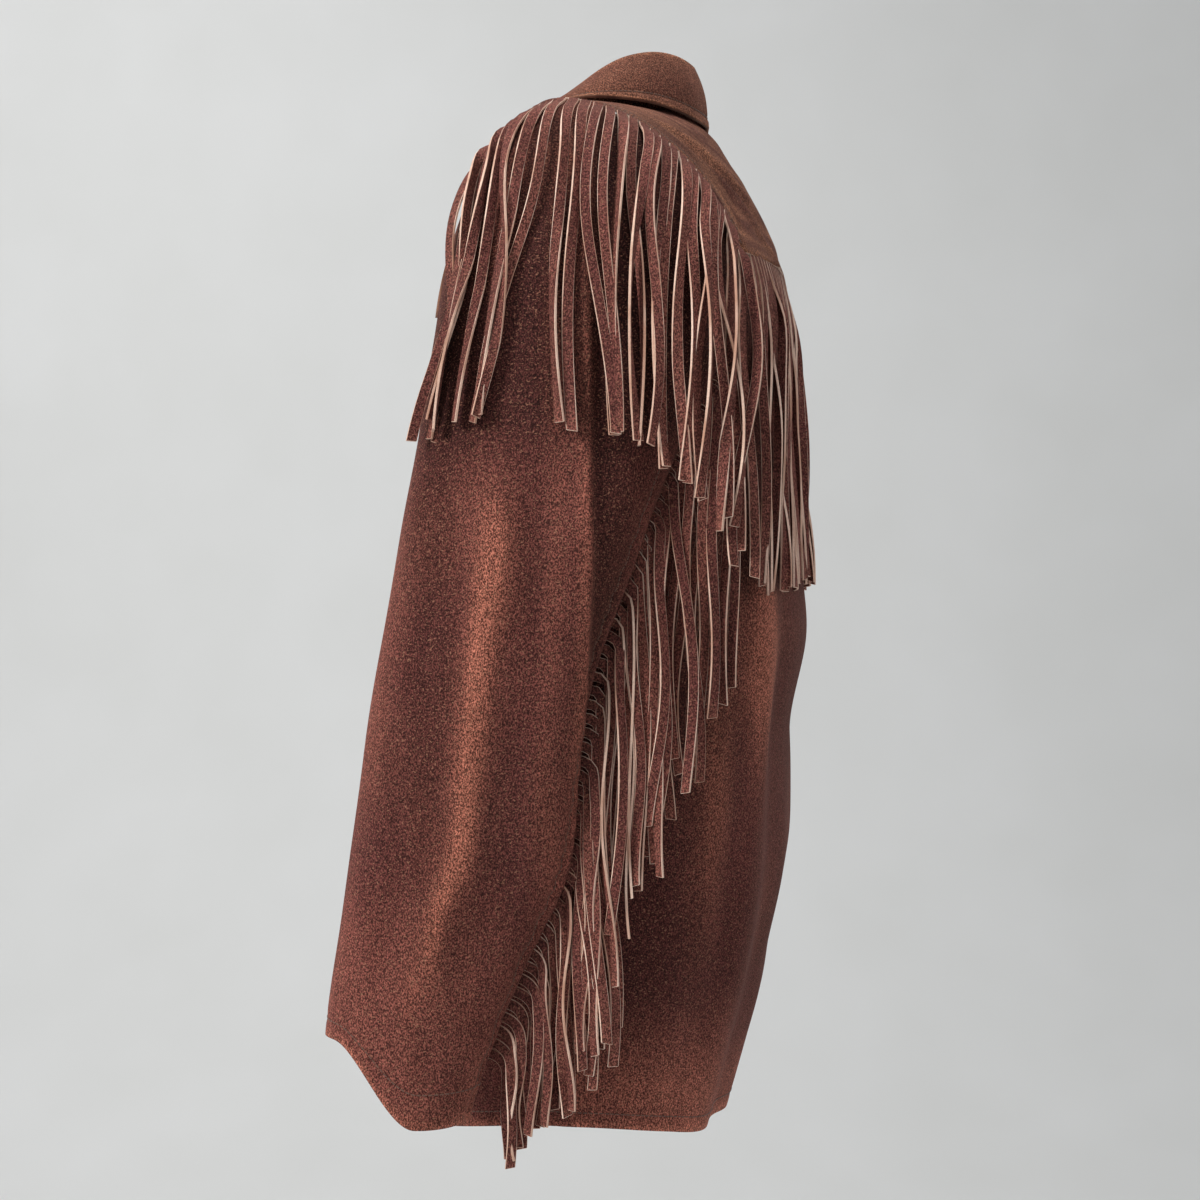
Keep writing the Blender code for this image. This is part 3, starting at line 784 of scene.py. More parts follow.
def front_panels():
    lap_columns = 0.10
    neck_station = NECK_MIDDLE + NECK_HALF
    lap = LAP / armhole(0).x

    def place_across(inner, u):
        first = inner + 2 * lap + 0.004 / armhole(0).x
        if u < lap_columns:
            return lerp(inner, first, u / lap_columns)
        return even(first, 1.0, (u - lap_columns) / (1 - lap_columns))

    def base(u, v):
        if v <= FRONT_LOWER_SHARE:
            z = lerp(HEM_Z, UNDERARM_Z, v / FRONT_LOWER_SHARE)
            return lower_torso(z, place_across(-lap, u), False)
        top = (v - FRONT_LOWER_SHARE) / (1 - FRONT_LOWER_SHARE)
        station = lerp(FRONT_STATION, FRONT_SEAM_STATION, top)
        inner = -lap * smoothstep((station - neck_station) / 0.8)
        if station < neck_station:
            inner = NECK_WIDTH * math.sqrt(1 - ((station - NECK_MIDDLE) / NECK_HALF) ** 2)
        return upper_torso(station, place_across(inner, u))

    def left(u, v):
        rise = LAP_LIFT * (1 - smoothstep((u - lap_columns) / 0.15))
        return base(u, v) + Vector((0, -rise * (1 - smoothstep((v - 0.80) / 0.08)), 0))

    def crease(u, v, point):
        keep = smoothstep((u - 0.08) / 0.12) * smoothstep((1 - u) / 0.05)
        total = body_folds(point, False) * lerp(0.15, 1, keep) + hem_press(above_hem(point))
        total -= 0.0006 * hump(u * FRONT_WIDTH - 0.0070, 0.0014)
        if v > FRONT_LOWER_SHARE:
            total += armhole_band((1 - u) * 0.24)
        return total

    def wear_and_shade(u, v, point):
        x, z = point.x, point.z
        worn = 0.12 + 0.50 * hump(above_hem(point), 0.006) + 0.35 * hump(u * FRONT_WIDTH, 0.004)
        worn += folds(FRONT_RUBS, abs(x), z) + 0.22 * patches(x * 9, 5.7, z * 7, 2.2)
        return worn, 0.30 * patches(x * 7, 1.4, z * 6, 2.4)

    skins = (BODY_SUEDE, WORN_EDGE)
    wall("front_l", "front_left", "front", left, skins, crease, wear_and_shade)
    wall("front_r", "front_right", "front", mirrored(base), skins,
         mirror_measure(crease, 0.02), mirror_measure(wear_and_shade, 0.03), flip=True)


def collar():
    def stand(u, v):
        angle = lerp(-STAND_END, STAND_END, u)
        height = table_row(COLLAR, abs(angle))[0] - 0.0020
        inset = STAND_INSET * (1 + smoothstep((abs(angle) - 90) / 40))
        station, across = neckline(abs(angle), inset)
        foot = upper_torso(station, math.copysign(across, angle))
        lean = Vector((-foot.x, -foot.y, 0)).normalized() * STAND_LEAN
        rise = lerp(-0.0040, 0.0006 + height, v)
        return foot + Vector((0, 0, rise)) + lean * (v * height / COLLAR_HEIGHT)

    def fall(u, v):
        """Rises beside the stand, rolls over at the fold and drops to its edge."""
        angle = lerp(-COLLAR_END, COLLAR_END, u)
        height, edge_across, edge_station = table_row(COLLAR, abs(angle))
        inner_station, inner_across = neckline(abs(angle))
        station = lerp(inner_station, edge_station, v)
        across = math.copysign(lerp(inner_across, edge_across, v), angle)
        base = upper_torso(station, across)
        out = Vector((base.x, base.y, 0)).normalized()
        lift = lerp(COLLAR_LIFT, COLLAR_EDGE_LIFT, smoothstep((v - 0.5) / 0.4))
        fold = Vector((0, 0, max(height, COLLAR_LIFT + 0.001)))
        fold += out * (STAND_CLEAR - STAND_LEAN * height / COLLAR_HEIGHT)
        point = base + fold * (1 - v) + torso_normal(station, across) * lift * v
        belly = math.sin(math.pi * v) * 0.0030 * smoothstep(height / 0.03)
        return point + (out * 0.8 + Vector((0, 0, 0.5))) * belly

    def crease(u, v, point):
        edge = (1 - v) * COLLAR_DEPTH
        total = 0.0007 * noise.noise(point * 26)
        total -= 0.0007 * hump(edge - COLLAR_STITCH, 0.0013)
        return total + 0.0005 * smoothstep((0.0065 - edge) / 0.002)

    def wear_and_shade(u, v, point):
        edge = (1 - v) * COLLAR_DEPTH
        worn = 0.14 + 0.60 * hump(edge, 0.0022) + 0.16 * hump(edge - 0.006, 0.003)
        worn += 0.35 * hump(v, 0.07) + 0.18 * noise.noise(point * 22)
        # Painted shade along the groove of the edge stitching.
        return worn, 0.45 * hump(edge - COLLAR_STITCH, 0.0012)

    def stand_wear_and_shade(u, v, point):
        # An even painted shade of 0.2 on the stand, under the fall.
        return 0.15 + 0.3 * hump(1 - v, 0.15), 0.2

    skins = (YOKE_SUEDE, WORN_EDGE)
    wall("collar_inside", "collar_stand", "collar_inside", stand, skins, None, stand_wear_and_shade,
         COLLAR_LEATHER, flip=True)
    wall("collar_outside", "collar_fall", "collar_outside", fall, skins, crease, wear_and_shade,
         COLLAR_LEATHER)


def sleeve_folds(point, outer):
    """The pressed fold and the soft worn ridge down the outer sleeve, and drapes round it."""
    y, z = point.y, point.z
    total = 0.0
    if outer > 0:
        fold = y - along(FOLD_LINE, z)
        strength = outer * smoothstep((z + 0.56) / 0.07)
        slope = math.exp(fold / 0.014) if fold < 0 else math.exp(-fold / 0.0035)
        total += 0.0030 * strength * slope
        total -= 0.0034 * strength * smoothstep(fold / 0.006) * math.exp(-max(fold, 0) / 0.022)
        ridge = y - along(RIDGE_LINE, z)
        reach = smoothstep((z + 0.66) / 0.08) * smoothstep((-0.27 - z) / 0.06)
        total += 0.0042 * outer * reach * hump(ridge, 0.0125)
        total -= 0.0024 * outer * reach * hump(ridge - 0.030, 0.014)
        total -= 0.0022 * outer * reach * hump(ridge + 0.032, 0.018)
    sway = 0.0020 * math.sin((z + 0.3) * 19 + y * 34) * smoothstep((-0.30 - z) / 0.2)
    sway += 0.0016 * math.sin((z + 0.2) * 33 - y * 22 + 1.1)
    total += sway * (0.4 + 0.6 * (1 - outer))
    return total + 0.0012 * ripple(point.x * 13, y * 13, z * 8)


def back_seam_width(v):
    """Metres in one unit of place beside the sleeve's back seam."""
    return lerp(0.10, 0.045, v)


def sleeves():
    def at(v, place):
        return sleeve_point(LAST_RING * v ** 1.15, place) + Vector((0.0004, 0, 0))

    def top(u, v):
        return at(v, lerp(FRONT_SLEEVE_SEAM + 0.003, BACK_SLEEVE_SEAM - 0.002, u))

    def under(u, v):
        return at(v, lerp(BACK_SLEEVE_SEAM + 0.004, 4 + FRONT_SLEEVE_SEAM - 0.003, u))

    def outer_face(place, back_fade):
        return smoothstep((place - 0.15) / 0.35) * smoothstep((2 - place) / back_fade)

    def top_crease(u, v, point):
        place = lerp(FRONT_SLEEVE_SEAM, BACK_SLEEVE_SEAM, u)
        low = smoothstep((v - 0.45) / 0.15)
        total = sleeve_folds(point, outer_face(place, 0.22))
        seam = (BACK_SLEEVE_SEAM - place) * back_seam_width(v)
        pucker = 0.0009 * math.sin(v * 260 + 3 * math.sin(v * 31))
        total -= 0.0011 * low * hump(seam - SLEEVE_SEAM_STITCH, 0.0022)
        total += pucker * low * hump(seam - SLEEVE_SEAM_STITCH, 0.006)
        total += 0.0012 * low * hump(seam - 0.003, 0.003)
        if v < 0.12:
            total += 0.0012 * math.sin(place * 16) * smoothstep((0.12 - v) / 0.1)
        return total - 0.0006 * hump((1 - v) * SLEEVE_LENGTH - SLEEVE_HEM_STITCH, 0.003)

    def under_crease(u, v, point):
        return sleeve_folds(point, 0.0)

    def top_wear_and_shade(u, v, point):
        outer = outer_face(lerp(FRONT_SLEEVE_SEAM, BACK_SLEEVE_SEAM, u), 0.12)
        y, z = point.y, point.z
        streak = outer * smoothstep((z + 0.66) / 0.14) * smoothstep((-0.29 - z) / 0.08)
        ridge = y - along(RIDGE_LINE, z) + 0.008 * ripple(3.0, y * 30, z * 12)
        fold = y - along(FOLD_LINE, z)
        worn = 0.10 + streak * (0.80 * hump(ridge, 0.0075) + 0.20 * hump(ridge, 0.020))
        # A lighter line just in front of the pressed fold: rubbed wear together with a painted
        # highlight on the fold's edge.
        worn += 0.34 * outer * smoothstep((z + 0.60) / 0.1) * hump(fold + 0.002, 0.005)
        worn += 0.18 * outer * smoothstep((z + 0.66) / 0.1) * hump(fold + 0.018, 0.010)
        worn += 0.16 * patches(y * 12, 2.0, z * 7, 2.0)
        worn += 0.55 * hump((1 - v) * SLEEVE_LENGTH, 0.0030) + 0.16 * smoothstep((v - 0.80) / 0.15)
        # Painted shade behind the pressed fold, where the sleeve turns away; random darker
        # patches; painted shade under the shoulder fringe; and painted shade over the outer face's
        # upper part, except along the rubbed ridge.
        shade = 0.62 * outer * smoothstep(fold / 0.003) * hump(fold - 0.010, 0.018)
        shade *= smoothstep((z + 0.60) / 0.12)
        shade += 0.22 * patches(y * 10, 6.0, z * 5, 2.2)
        shade += 0.50 * smoothstep((z + 0.300) / 0.04)
        shade += 0.34 * outer * (1 - hump(ridge, 0.020)) * smoothstep((z + 0.62) / 0.14)
        return worn, shade

    def under_wear_and_shade(u, v, point):
        worn = 0.10 + 0.55 * hump((1 - v) * SLEEVE_LENGTH, 0.0030)
        # An even painted shade of 0.15 on the under sleeve.
        return worn + 0.2 * patches(point.y * 12, 7.0, point.z * 7, 2.0), 0.15

    for side, letter, hand in SIDES:
        for part, place, crease, wear_and_shade in (("top", top, top_crease, top_wear_and_shade),
                                          ("under", under, under_crease, under_wear_and_shade)):
            if side < 0:
                place = mirrored(place)
                crease = mirror_measure(crease, 0.03)
                wear_and_shade = mirror_measure(wear_and_shade, 0.03)
            wall("sleeve_%s_%s" % (part, letter), "%s_sleeve_%s" % (part, hand),
                 "sleeve_" + part, place, (BODY_SUEDE, WORN_EDGE), crease, wear_and_shade, flip=side > 0)


# ---------------------------------------------------------------- fringe

def ribbon(bm, layers, path, widths, width, worn, slant, shade_root):
    """One cut strip along a path; widths gives the direction across it at each point."""
    worn_layer, shade_layer = layers
    steps = len(path) - 1
    strip = bmesh.ops.create_grid(bm, x_segments=1, y_segments=steps, size=0.5)
    for vert in strip["verts"]:
        index = round((vert.co.y + 0.5) * steps)
        half = math.copysign(width / 2, vert.co.x)
        tangent = (path[min(index + 1, steps)] - path[max(index - 1, 0)]).normalized()
        across = (widths[index] - tangent * widths[index].dot(tangent)).normalized()
        tip = tangent * (slant * half) if index == steps else Vector()
        vert.co = path[index] + across * half + tip
        share = index / steps
        vert[worn_layer] = worn + 0.25 * smoothstep((share - 0.93) / 0.07)
        vert[shade_layer] = shade_root * (1 - smoothstep(share / 0.16))


def fringe_object(name, node, strips):
    """Joins strips into one mesh, gives them thickness and cuts a pale rim round them."""
    bm = bmesh.new()
    layers = (bm.verts.layers.float.new("worn"), bm.verts.layers.float.new("shade"))
    for path, widths, options in strips:
        ribbon(bm, layers, path, widths, **options)
    obj = new_piece(name, bm, (FRINGE_SUEDE, CUT_EDGE))
    obj.data.shade_smooth()
    solid = obj.modifiers.new("Thickness", "SOLIDIFY")
    solid.thickness = STRIP_THICK
    solid.offset = 0.0
    solid.material_offset_rim = 1
    rim = obj.modifiers.new("Cut rim", "BEVEL")
    rim.width = STRIP_CHAMFER
    rim.segments = 1
    rim.limit_method = "ANGLE"
    rim.angle_limit = math.radians(50)
    rim.material = 1
    rim.harden_normals = True
    finish_piece(obj, node)
    return obj


def resample(points, length, steps):
    """Even steps along a line of points, going straight down past its end."""
    result = []
    index, done = 0, 0.0
    for step in range(steps + 1):
        target = length * step / steps
        while index < len(points) - 1:
            run = (points[index + 1] - points[index]).length
            if done + run >= target:
                break
            done += run
            index += 1
        if index >= len(points) - 1:
            result.append(points[-1] + Vector((0, 0, -(target - done))))
        else:
            run = (points[index + 1] - points[index]).length
            share = (target - done) / run if run > 0 else 0
            result.append(points[index].lerp(points[index + 1], share))
    return result


def hang(path, widths, rng, sway, twist, layer, out):
    """Loosens a hanging strip: sways it, twists it about its length and lifts it."""
    steps = len(path) - 1
    phase, pace = rng.uniform(0, 6.28), rng.uniform(3.0, 6.0)
    turn_phase, turn_pace = rng.uniform(0, 6.28), rng.uniform(2.0, 5.0)
    lean = rng.uniform(-1, 1)
    new_path, new_widths = [], []
    for index, point in enumerate(path):
        t = index / steps
        free = smoothstep(t / 0.55)
        across = widths[index]
        drift = sway * (0.55 * lean * t ** 1.3 + 0.45 * free * math.sin(phase + pace * t))
        yaw = twist * smoothstep((t - 0.03) / 0.25) * math.sin(turn_phase + turn_pace * t)
        clear = abs(math.sin(yaw)) * STRIP_WIDTH * 0.42
        lift = layer * smoothstep(t / 0.2) + clear
        wobble = 0.0012 * free * math.sin(phase * 1.7 + 7 * t)
        new_path.append(point + across * drift + out(point) * (lift + wobble))
        new_widths.append(Quaternion(Vector((0, 0, 1)), yaw) @ across)
    return new_path, new_widths


def cut_strip(rng, path, widths, side, shade_root, width=(0.93, 1.05), worn=(0.05, 0.32),
              slant=0.25):
    """One strip for fringe_object, on its own side, with its own width, wear and cut end."""
    if side < 0:
        path = [flipped(point) for point in path]
        widths = [flipped(across) for across in widths]
    return path, widths, {
        "width": STRIP_WIDTH * rng.uniform(*width),
        "worn": rng.uniform(*worn),
        "slant": rng.uniform(-slant, slant),
        "shade_root": shade_root}


def roots(points, places, pitch, extra):
    """Places a pitch apart along a seam that runs through points at those places."""
    lengths = walked(points)
    count = int(lengths[-1] / pitch) + extra
    return [float(np.interp(min((number + 0.5) * pitch, lengths[-1]), lengths, places))
            for number in range(count)]


def out_of_sleeve(point):
    return Vector((point.x - 0.21, point.y - 0.02, 0)).normalized()


def out_of_back(point):
    return Vector((0, 1, 0))


def shoulder_fringe(side, letter, hand):
    """Strips in the armhole seam that pass over the sleeve's head and hang below it."""
    rng = random.Random(41 if side > 0 else 97)
    first, last, steps = 0.45, 1.885, 30
    spots = [first + (last - first) * k / 200 for k in range(201)]
    strips = []
    for spot in roots([armhole(place) for place in spots], spots, STRIP_PITCH, 1):
        points = []
        for step in range(49):
            point = sleeve_point(step / 10, spot)
            proud = lerp(0.0006, 0.0022, smoothstep(step / 8))
            point = point + (out_of_sleeve(point) * 0.8 + Vector((0, 0, 0.6))) * proud
            point.x += 0.010 * smoothstep(step / 12) * smoothstep((spot - 1.2) / 0.6)
            if points:
                point.x = max(point.x, points[-1].x)
                keep = max if spot > 1 else min
                point.y = keep(point.y, points[-1].y)
            points.append(point)
        length = STRIP_LENGTH * rng.uniform(0.975, 1.02) * (0.96 if spot < 0.62 else 1.06)
        path = resample(points, length, steps)
        rim = (armhole(spot + 0.02) - armhole(spot - 0.02)).normalized()
        flat = Vector((0.35 * (1.0 - spot), 1, 0)).normalized()
        widths = [rim.lerp(flat, smoothstep(index / steps / 0.22)).normalized()
                  for index in range(len(path))]
        twist = rng.choice((0.25, 0.45, 0.7, 1.0, 1.3, 1.5))
        layer = rng.choice((0.0005, 0.0035, 0.0065))
        sway = rng.choice((0.008, 0.013, 0.020))
        path, widths = hang(path, widths, rng, sway, twist, layer, out_of_sleeve)
        strips.append(cut_strip(rng, path, widths, side, 0.25))
    return fringe_object("shoulder_strips_" + letter, "shoulder_fringe_" + hand, strips)


def back_fringe():
    """Strips under the yoke's lower edge that hang over the back."""
    rng = random.Random(7)
    places = [k / 300 for k in range(-292, 293)]
    seam = [upper_torso(YOKE_STATION, place) for place in places]
    strips = []
    for across in roots(seam, places, STRIP_PITCH, 0):
        points = []
        for step in range(33):
            if step <= 8:
                point = upper_torso(YOKE_STATION * (1 - step / 8) + 0.05, across)
            else:
                point = lower_torso(lerp(UNDERARM_Z, -0.42, (step - 8) / 24), across, True)
            point = point + Vector((0, 0.0009 + 0.0005 * smoothstep(step / 10), 0.0))
            if points:
                point.y = max(point.y, points[-1].y)
                point.x = points[0].x
            points.append(point)
        path = resample(points, BACK_STRIP_LENGTH * rng.uniform(0.98, 1.02), 28)
        edge = (upper_torso(YOKE_STATION, min(across + 0.01, 1))
                - upper_torso(YOKE_STATION, max(across - 0.01, -1))).normalized()
        widths = [edge.lerp(Vector((edge.x, edge.y, 0)), smoothstep(k / 6)).normalized()
                  for k in range(len(path))]
        twist = rng.choice((0.3, 0.4, 0.6, 0.9, 1.2, 1.4))
        layer = rng.choice((0.0, 0.0012, 0.0026))
        path, widths = hang(path, widths, rng, 0.008, twist, layer, out_of_back)
        strips.append(cut_strip(rng, path, widths, 1, 0.3, worn=(0.0, 0.22)))
    return fringe_object("back_strips", "back_fringe", strips)


def frame_of(tangent, across):
    return Matrix((tangent, across, tangent.cross(across))).transposed().to_quaternion()


def sleeve_fringe(side, letter, hand):
    """Strips in the sleeve's back seam: they stick out of it, roll over and hang."""
    rng = random.Random(23 if side > 0 else 61)
    steps, least_x = 36, 0.226
    stations = [2.0 + 7.62 * k / 300 for k in range(301)]
    seam_line = [sleeve_point(station, BACK_SLEEVE_SEAM) for station in stations]
    strips = []
    for station in roots(seam_line, stations, SLEEVE_PITCH, 1):
        length = table_row(SLEEVE_FRINGE, station)[0] * rng.uniform(0.95, 1.05)
        root = sleeve_point(station, BACK_SLEEVE_SEAM)
        seam = (sleeve_point(station + 0.05, BACK_SLEEVE_SEAM)
                - sleeve_point(station - 0.05, BACK_SLEEVE_SEAM)).normalized()
        leaving = seam.cross(Vector((1, 0, 0))).normalized()
        if leaving.y < 0:
            leaving = -leaving
        leaving = (leaving + Vector((rng.uniform(-0.1, 0.35), 0.1, 0.0))).normalized()
        start = frame_of(leaving, (seam - leaving * seam.dot(leaving)).normalized())
        yaw = rng.choice((-0.35, -0.15, 0.0, 0.1, 0.3, 0.2, 0.0, -1.1))
        hanging = Vector((rng.uniform(-0.03, 0.03), rng.uniform(-0.05, 0.07), -1)).normalized()
        face = Vector((math.sin(yaw), -math.cos(yaw), 0))
        end = frame_of(hanging, (face - hanging * face.dot(hanging)).normalized())
        bend = lerp(1.0, 1.9, smoothstep((station - 6.5) / 2)) * rng.uniform(0.008, 0.014) / length
        layer = rng.choice((-0.003, 0.0, 0.003, 0.006))
        wave, phase = rng.uniform(0.05, 0.16), rng.uniform(0, 6.28)
        swing = rng.uniform(3.0, 7.0)
        path, widths = [root - leaving * 0.004], []
        for index in range(steps + 1):
            t = index / steps
            turn = start.slerp(end, smoothstep(t / bend * 0.8))
            free = smoothstep((t - bend * 0.6) / 0.25)
            spin = Quaternion(Vector((0, 0, 1)), free * 0.42 * math.sin(phase + swing * t))
            drift = wave * free * math.sin(phase + swing * 1.3 * t)
            tangent = turn @ Vector((1, 0, 0)) + Vector((0.3 * math.cos(phase), 1, 0)) * drift
            widths.append(spin @ (turn @ Vector((0, 1, 0))))
            if index < steps:
                path.append(path[-1] + tangent.normalized() * length / steps)
        for index, point in enumerate(path):
            point.x = max(point.x + layer * smoothstep(index / steps / 0.3), least_x)
        strips.append(cut_strip(rng, path, widths, side, 0.50, width=(0.92, 1.04), slant=0.3))
    return fringe_object("sleeve_strips_" + letter, "sleeve_fringe_" + hand, strips)


# ---------------------------------------------------------------- stitches and buttons

def stitch_line(bm, points, normals):
    """Short threads laid end to end along a line, sunk a little at both ends."""
    lengths = walked(points)
    table = np.array([[*p, *n] for p, n in zip(points, normals)])

    def at(distance):
        values = [float(np.interp(distance, lengths, table[:, k])) for k in range(6)]
        return Vector(values[:3]), Vector(values[3:]).normalized()

    for number in range(int(lengths[-1] / STITCH_PITCH)):
        middle = (number + 0.5) * STITCH_PITCH
        centre, normal = at(middle)
        ahead, behind = at(middle + STITCH_LENGTH / 2)[0], at(middle - STITCH_LENGTH / 2)[0]
        turn = (ahead - behind).normalized().to_track_quat("Z", "Y").to_matrix().to_4x4()
        place = Matrix.Translation(centre + normal * STITCH_RADIUS * 0.2) @ turn
        bmesh.ops.create_cone(bm, cap_ends=True, segments=6, radius1=STITCH_RADIUS,
                              radius2=STITCH_RADIUS, depth=STITCH_LENGTH, matrix=place)


def surface_line(obj, columns, rows, cells):
    """Points and normals on a wall's own grid, at (column, row) places in cells."""
    mesh = obj.data
    wide = columns + 1
    points, normals = [], []
    for column, row in cells:
        c0, r0 = min(int(column), columns - 1), min(int(row), rows - 1)
        fc, fr = column - c0, row - r0
        point, normal = Vector(), Vector()
        for dc, dr, weight in ((0, 0, (1 - fc) * (1 - fr)), (1, 0, fc * (1 - fr)),
                               (0, 1, (1 - fc) * fr), (1, 1, fc * fr)):
            vert = mesh.vertices[(r0 + dr) * wide + c0 + dc]
            point += vert.co * weight
            normal += vert.normal * weight
        points.append(point)
        normals.append(normal.normalized())
    return points, normals


def seam_stitches():
    """All top stitching of the jacket as one mesh of threads."""
    bm = bmesh.new()

    def run(name, cells, line, steps=240):
        """Threads on one wall along line(t), which gives the shares across and along it."""
        columns, rows = GRIDS[cells]
        spots = [line(k / steps) for k in range(steps + 1)]
        spots = [(columns * across, rows * up) for across, up in spots]
        stitch_line(bm, *surface_line(WALLS[name], columns, rows, spots))

    hem = HEM_STITCH / (UNDERARM_Z - HEM_Z)
    run("back", "back", lambda t: (t, hem * BACK_LOWER_SHARE))
    for name in ("front_l", "front_r"):
        run(name, "front", lambda t: (t, hem * FRONT_LOWER_SHARE))
        run(name, "front", lambda t: (1.35 / GRIDS["front"][0], 0.015 + 0.76 * t))
    run("collar_outside", "collar_outside",
        lambda t: (0.02 + 0.96 * t, 1 - COLLAR_STITCH / COLLAR_DEPTH))
    for stitch in FELL_STITCHES:
        for low, high in ((0.0, 0.268), (0.732, 1.0)):
            run("yoke_panel", "yoke",
                lambda t: (lerp(low, high, t), 1 - stitch / YOKE_DEPTH), 90)

    def beside_back_seam(t):
        v = lerp(0.46, 0.985, t)
        seam = SLEEVE_SEAM_STITCH / back_seam_width(v)
        return 1 - seam / (BACK_SLEEVE_SEAM - FRONT_SLEEVE_SEAM), v

    for side, letter, hand in SIDES:
        for part in ("sleeve_top", "sleeve_under"):
            run(part + "_" + letter, part,
                lambda t: (t, 1 - SLEEVE_HEM_STITCH / SLEEVE_LENGTH), 120)
        run("sleeve_top_" + letter, "sleeve_top", beside_back_seam, 140)
    finish_piece(new_piece("top_stitching", bm, (THREAD,)))


# Half of a button's section: distance from its middle, height
BUTTON_PROFILE = ((0.0, -0.0012), (0.0060, -0.0014), (0.0083, -0.0006), (0.0085, 0.0003),
                  (0.0080, 0.0012), (0.0070, 0.0014), (0.0062, 0.0010), (0.0054, 0.0006),
                  (0.0, 0.0006))
HOLE_RADIUS = 0.00075
HOLE_DISTANCE = 0.0017
HOLE_HEIGHT = 0.00066
THREAD_SIZE = (0.0036, 0.0010, 0.0005, 1)


def button_shape():
    """A dished four-hole button about the Z axis, with its crossed threads."""
    bm = bmesh.new()
    rim = [bm.verts.new((radius, 0, height)) for radius, height in BUTTON_PROFILE]
    outline = [bm.edges.new(pair) for pair in zip(rim, rim[1:])]
    bmesh.ops.spin(bm, geom=rim + outline, cent=(0, 0, 0), axis=(0, 0, 1), angle=math.tau,
                   steps=40, use_merge=True)
    bmesh.ops.remove_doubles(bm, verts=bm.verts, dist=1e-6)
    bmesh.ops.recalc_face_normals(bm, faces=bm.faces)
    for face in bm.faces:
        face.smooth = True
    for quarter in range(4):
        spin = Matrix.Rotation(math.pi / 4 + quarter * math.pi / 2, 4, "Z")
        place = spin @ Matrix.Translation((HOLE_DISTANCE, 0, HOLE_HEIGHT))
        hole = bmesh.ops.create_circle(bm, cap_ends=True, radius=HOLE_RADIUS, segments=10,
                                       matrix=place)
        hole["verts"][0].link_faces[0].material_index = 1
    for cross in range(2):
        spin = Matrix.Rotation(math.pi / 4 + cross * math.pi / 2, 4, "Z")
        lift = Matrix.Translation((0, 0, 0.0007 + 0.0002 * cross))
        thread = bmesh.ops.create_cube(bm, size=1,
                                       matrix=spin @ lift @ Matrix.Diagonal(THREAD_SIZE))
        for face in {face for vert in thread["verts"] for face in vert.link_faces}:
            face.material_index = 2
    return bm


def buttons():
    """A button on each button node's place, square to the front there."""
    for number in range(1, BUTTON_COUNT + 1):
        node = "button_%d" % number
        low, high = (Vector(corner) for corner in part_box(node))
        centre = (low + high) / 2
        z = centre.z
        if z > UNDERARM_Z:
            station = next(k / 50 for k in range(600, 801) if table_row(SHOULDERS, k / 50)[1] <= z)
            ahead = upper_torso(station + 0.1, 0) - upper_torso(station - 0.1, 0)
        else:
            ahead = lower_torso(z - 0.004, 0, False) - lower_torso(z + 0.004, 0, False)
        turn = Vector((0, ahead.z, -ahead.y)).normalized().to_track_quat("Z", "Y").to_matrix()
        bm = button_shape()
        bmesh.ops.transform(bm, matrix=Matrix.Translation(centre) @ turn.to_4x4(), verts=bm.verts)
        finish_piece(new_piece("fastening_%d" % number, bm, (HORN, WORN_EDGE, THREAD)), node)


# ---------------------------------------------------------------- stage, light and camera

def paper_material():
    made, make, shader = new_material("studio_paper", {"Roughness": 0.9})
    paper = make.noise(make.place(), 3.0, 2.0, 0.5)
    colour = make.mix(make.span(paper, 0.3, 0.7), (0.76, 0.765, 0.755, 1), (0.79, 0.795, 0.79, 1))
    make.put(shader.inputs["Base Color"], colour)
    return made


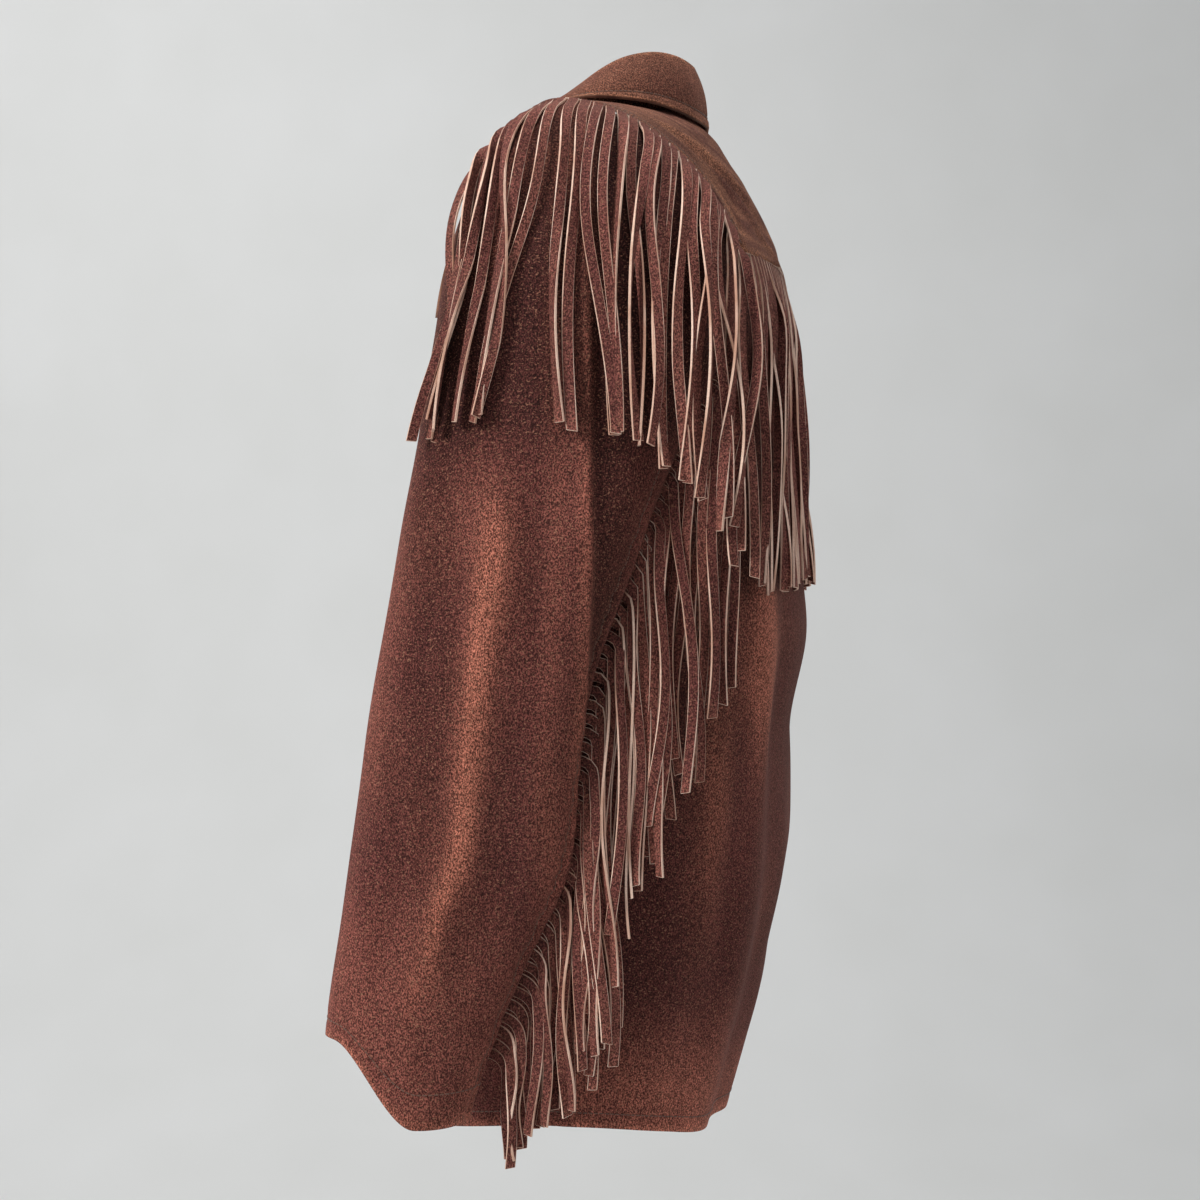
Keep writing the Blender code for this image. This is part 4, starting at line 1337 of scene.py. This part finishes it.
def stage():
    """A pale floor that rises in a wide curve into the backdrop."""
    bm = bmesh.new()
    floor_z, radius, wall_x, half_length, height = -1.55, 1.6, -3.4, 5.0, 4.0
    profile = [(4.0, floor_z), (wall_x + radius, floor_z)]
    for k in range(1, 13):
        angle = k / 12 * math.pi / 2
        profile.append((wall_x + radius - radius * math.sin(angle),
                        floor_z + radius - radius * math.cos(angle)))
    profile.append((wall_x, height))
    line = [bm.verts.new((x, -half_length, z)) for x, z in profile]
    edges = [bm.edges.new(pair) for pair in zip(line, line[1:])]
    swept = bmesh.ops.extrude_edge_only(bm, edges=edges)["geom"]
    far = [item for item in swept if isinstance(item, bmesh.types.BMVert)]
    bmesh.ops.translate(bm, verts=far, vec=(0, 2 * half_length, 0))
    bmesh.ops.recalc_face_normals(bm, faces=bm.faces)
    bmesh.ops.rotate(bm, verts=bm.verts, matrix=Matrix.Rotation(math.radians(6), 3, "Z"))
    for face in bm.faces:
        face.smooth = True
    new_piece("studio_sweep", bm, (paper_material(),))


def area_light(name, place, target, size, power, colour=(1, 1, 1)):
    light = bpy.data.lights.new(name, "AREA")
    light.shape = "DISK"
    light.size = size
    light.energy = power
    light.color = colour
    obj = bpy.data.objects.new(name, light)
    obj.location = place
    obj.rotation_euler = (Vector(target) - Vector(place)).to_track_quat("-Z", "Y").to_euler()
    bpy.context.collection.objects.link(obj)


def light_and_camera():
    area_light("key", (1.9, -1.9, 1.0), (0.1, 0, -0.42), 1.0, 69, (1.0, 0.985, 0.96))
    area_light("top", (0.5, 0.3, 2.0), (0.1, 0, -0.3), 1.2, 30)
    area_light("fill", (1.6, 1.9, 0.3), (0.1, 0, -0.3), 1.6, 7, (0.97, 0.98, 1.0))
    area_light("backdrop", (-0.6, -2.0, 1.8), (-3.2, -0.4, 0.2), 2.0, 34)
    world = bpy.data.worlds.new("studio")
    world.use_nodes = True
    back = world.node_tree.nodes["Background"]
    back.inputs["Color"].default_value = (0.95, 0.97, 1.0, 1.0)
    back.inputs["Strength"].default_value = 0.27
    bpy.context.scene.world = world
    data = bpy.data.cameras.new("camera")
    data.lens = 56.5
    data.sensor_width = 36
    camera = bpy.data.objects.new("camera", data)
    turn, distance, height = math.radians(96), 1.45, -0.377
    camera.location = (math.sin(turn) * distance, -math.cos(turn) * distance, height)
    forward = Vector((-math.sin(turn), math.cos(turn), 0))
    camera.rotation_euler = forward.to_track_quat("-Z", "Y").to_euler()
    bpy.context.collection.objects.link(camera)
    bpy.context.scene.camera = camera
    bpy.context.scene.view_settings.view_transform = "Standard"


light_and_camera()
stage()
back_panel()
yoke()
front_panels()
collar()
sleeves()
back_fringe()
for side, letter, hand in SIDES:
    shoulder_fringe(side, letter, hand)
    sleeve_fringe(side, letter, hand)
seam_stitches()
buttons()

bpy.context.view_layer.update()
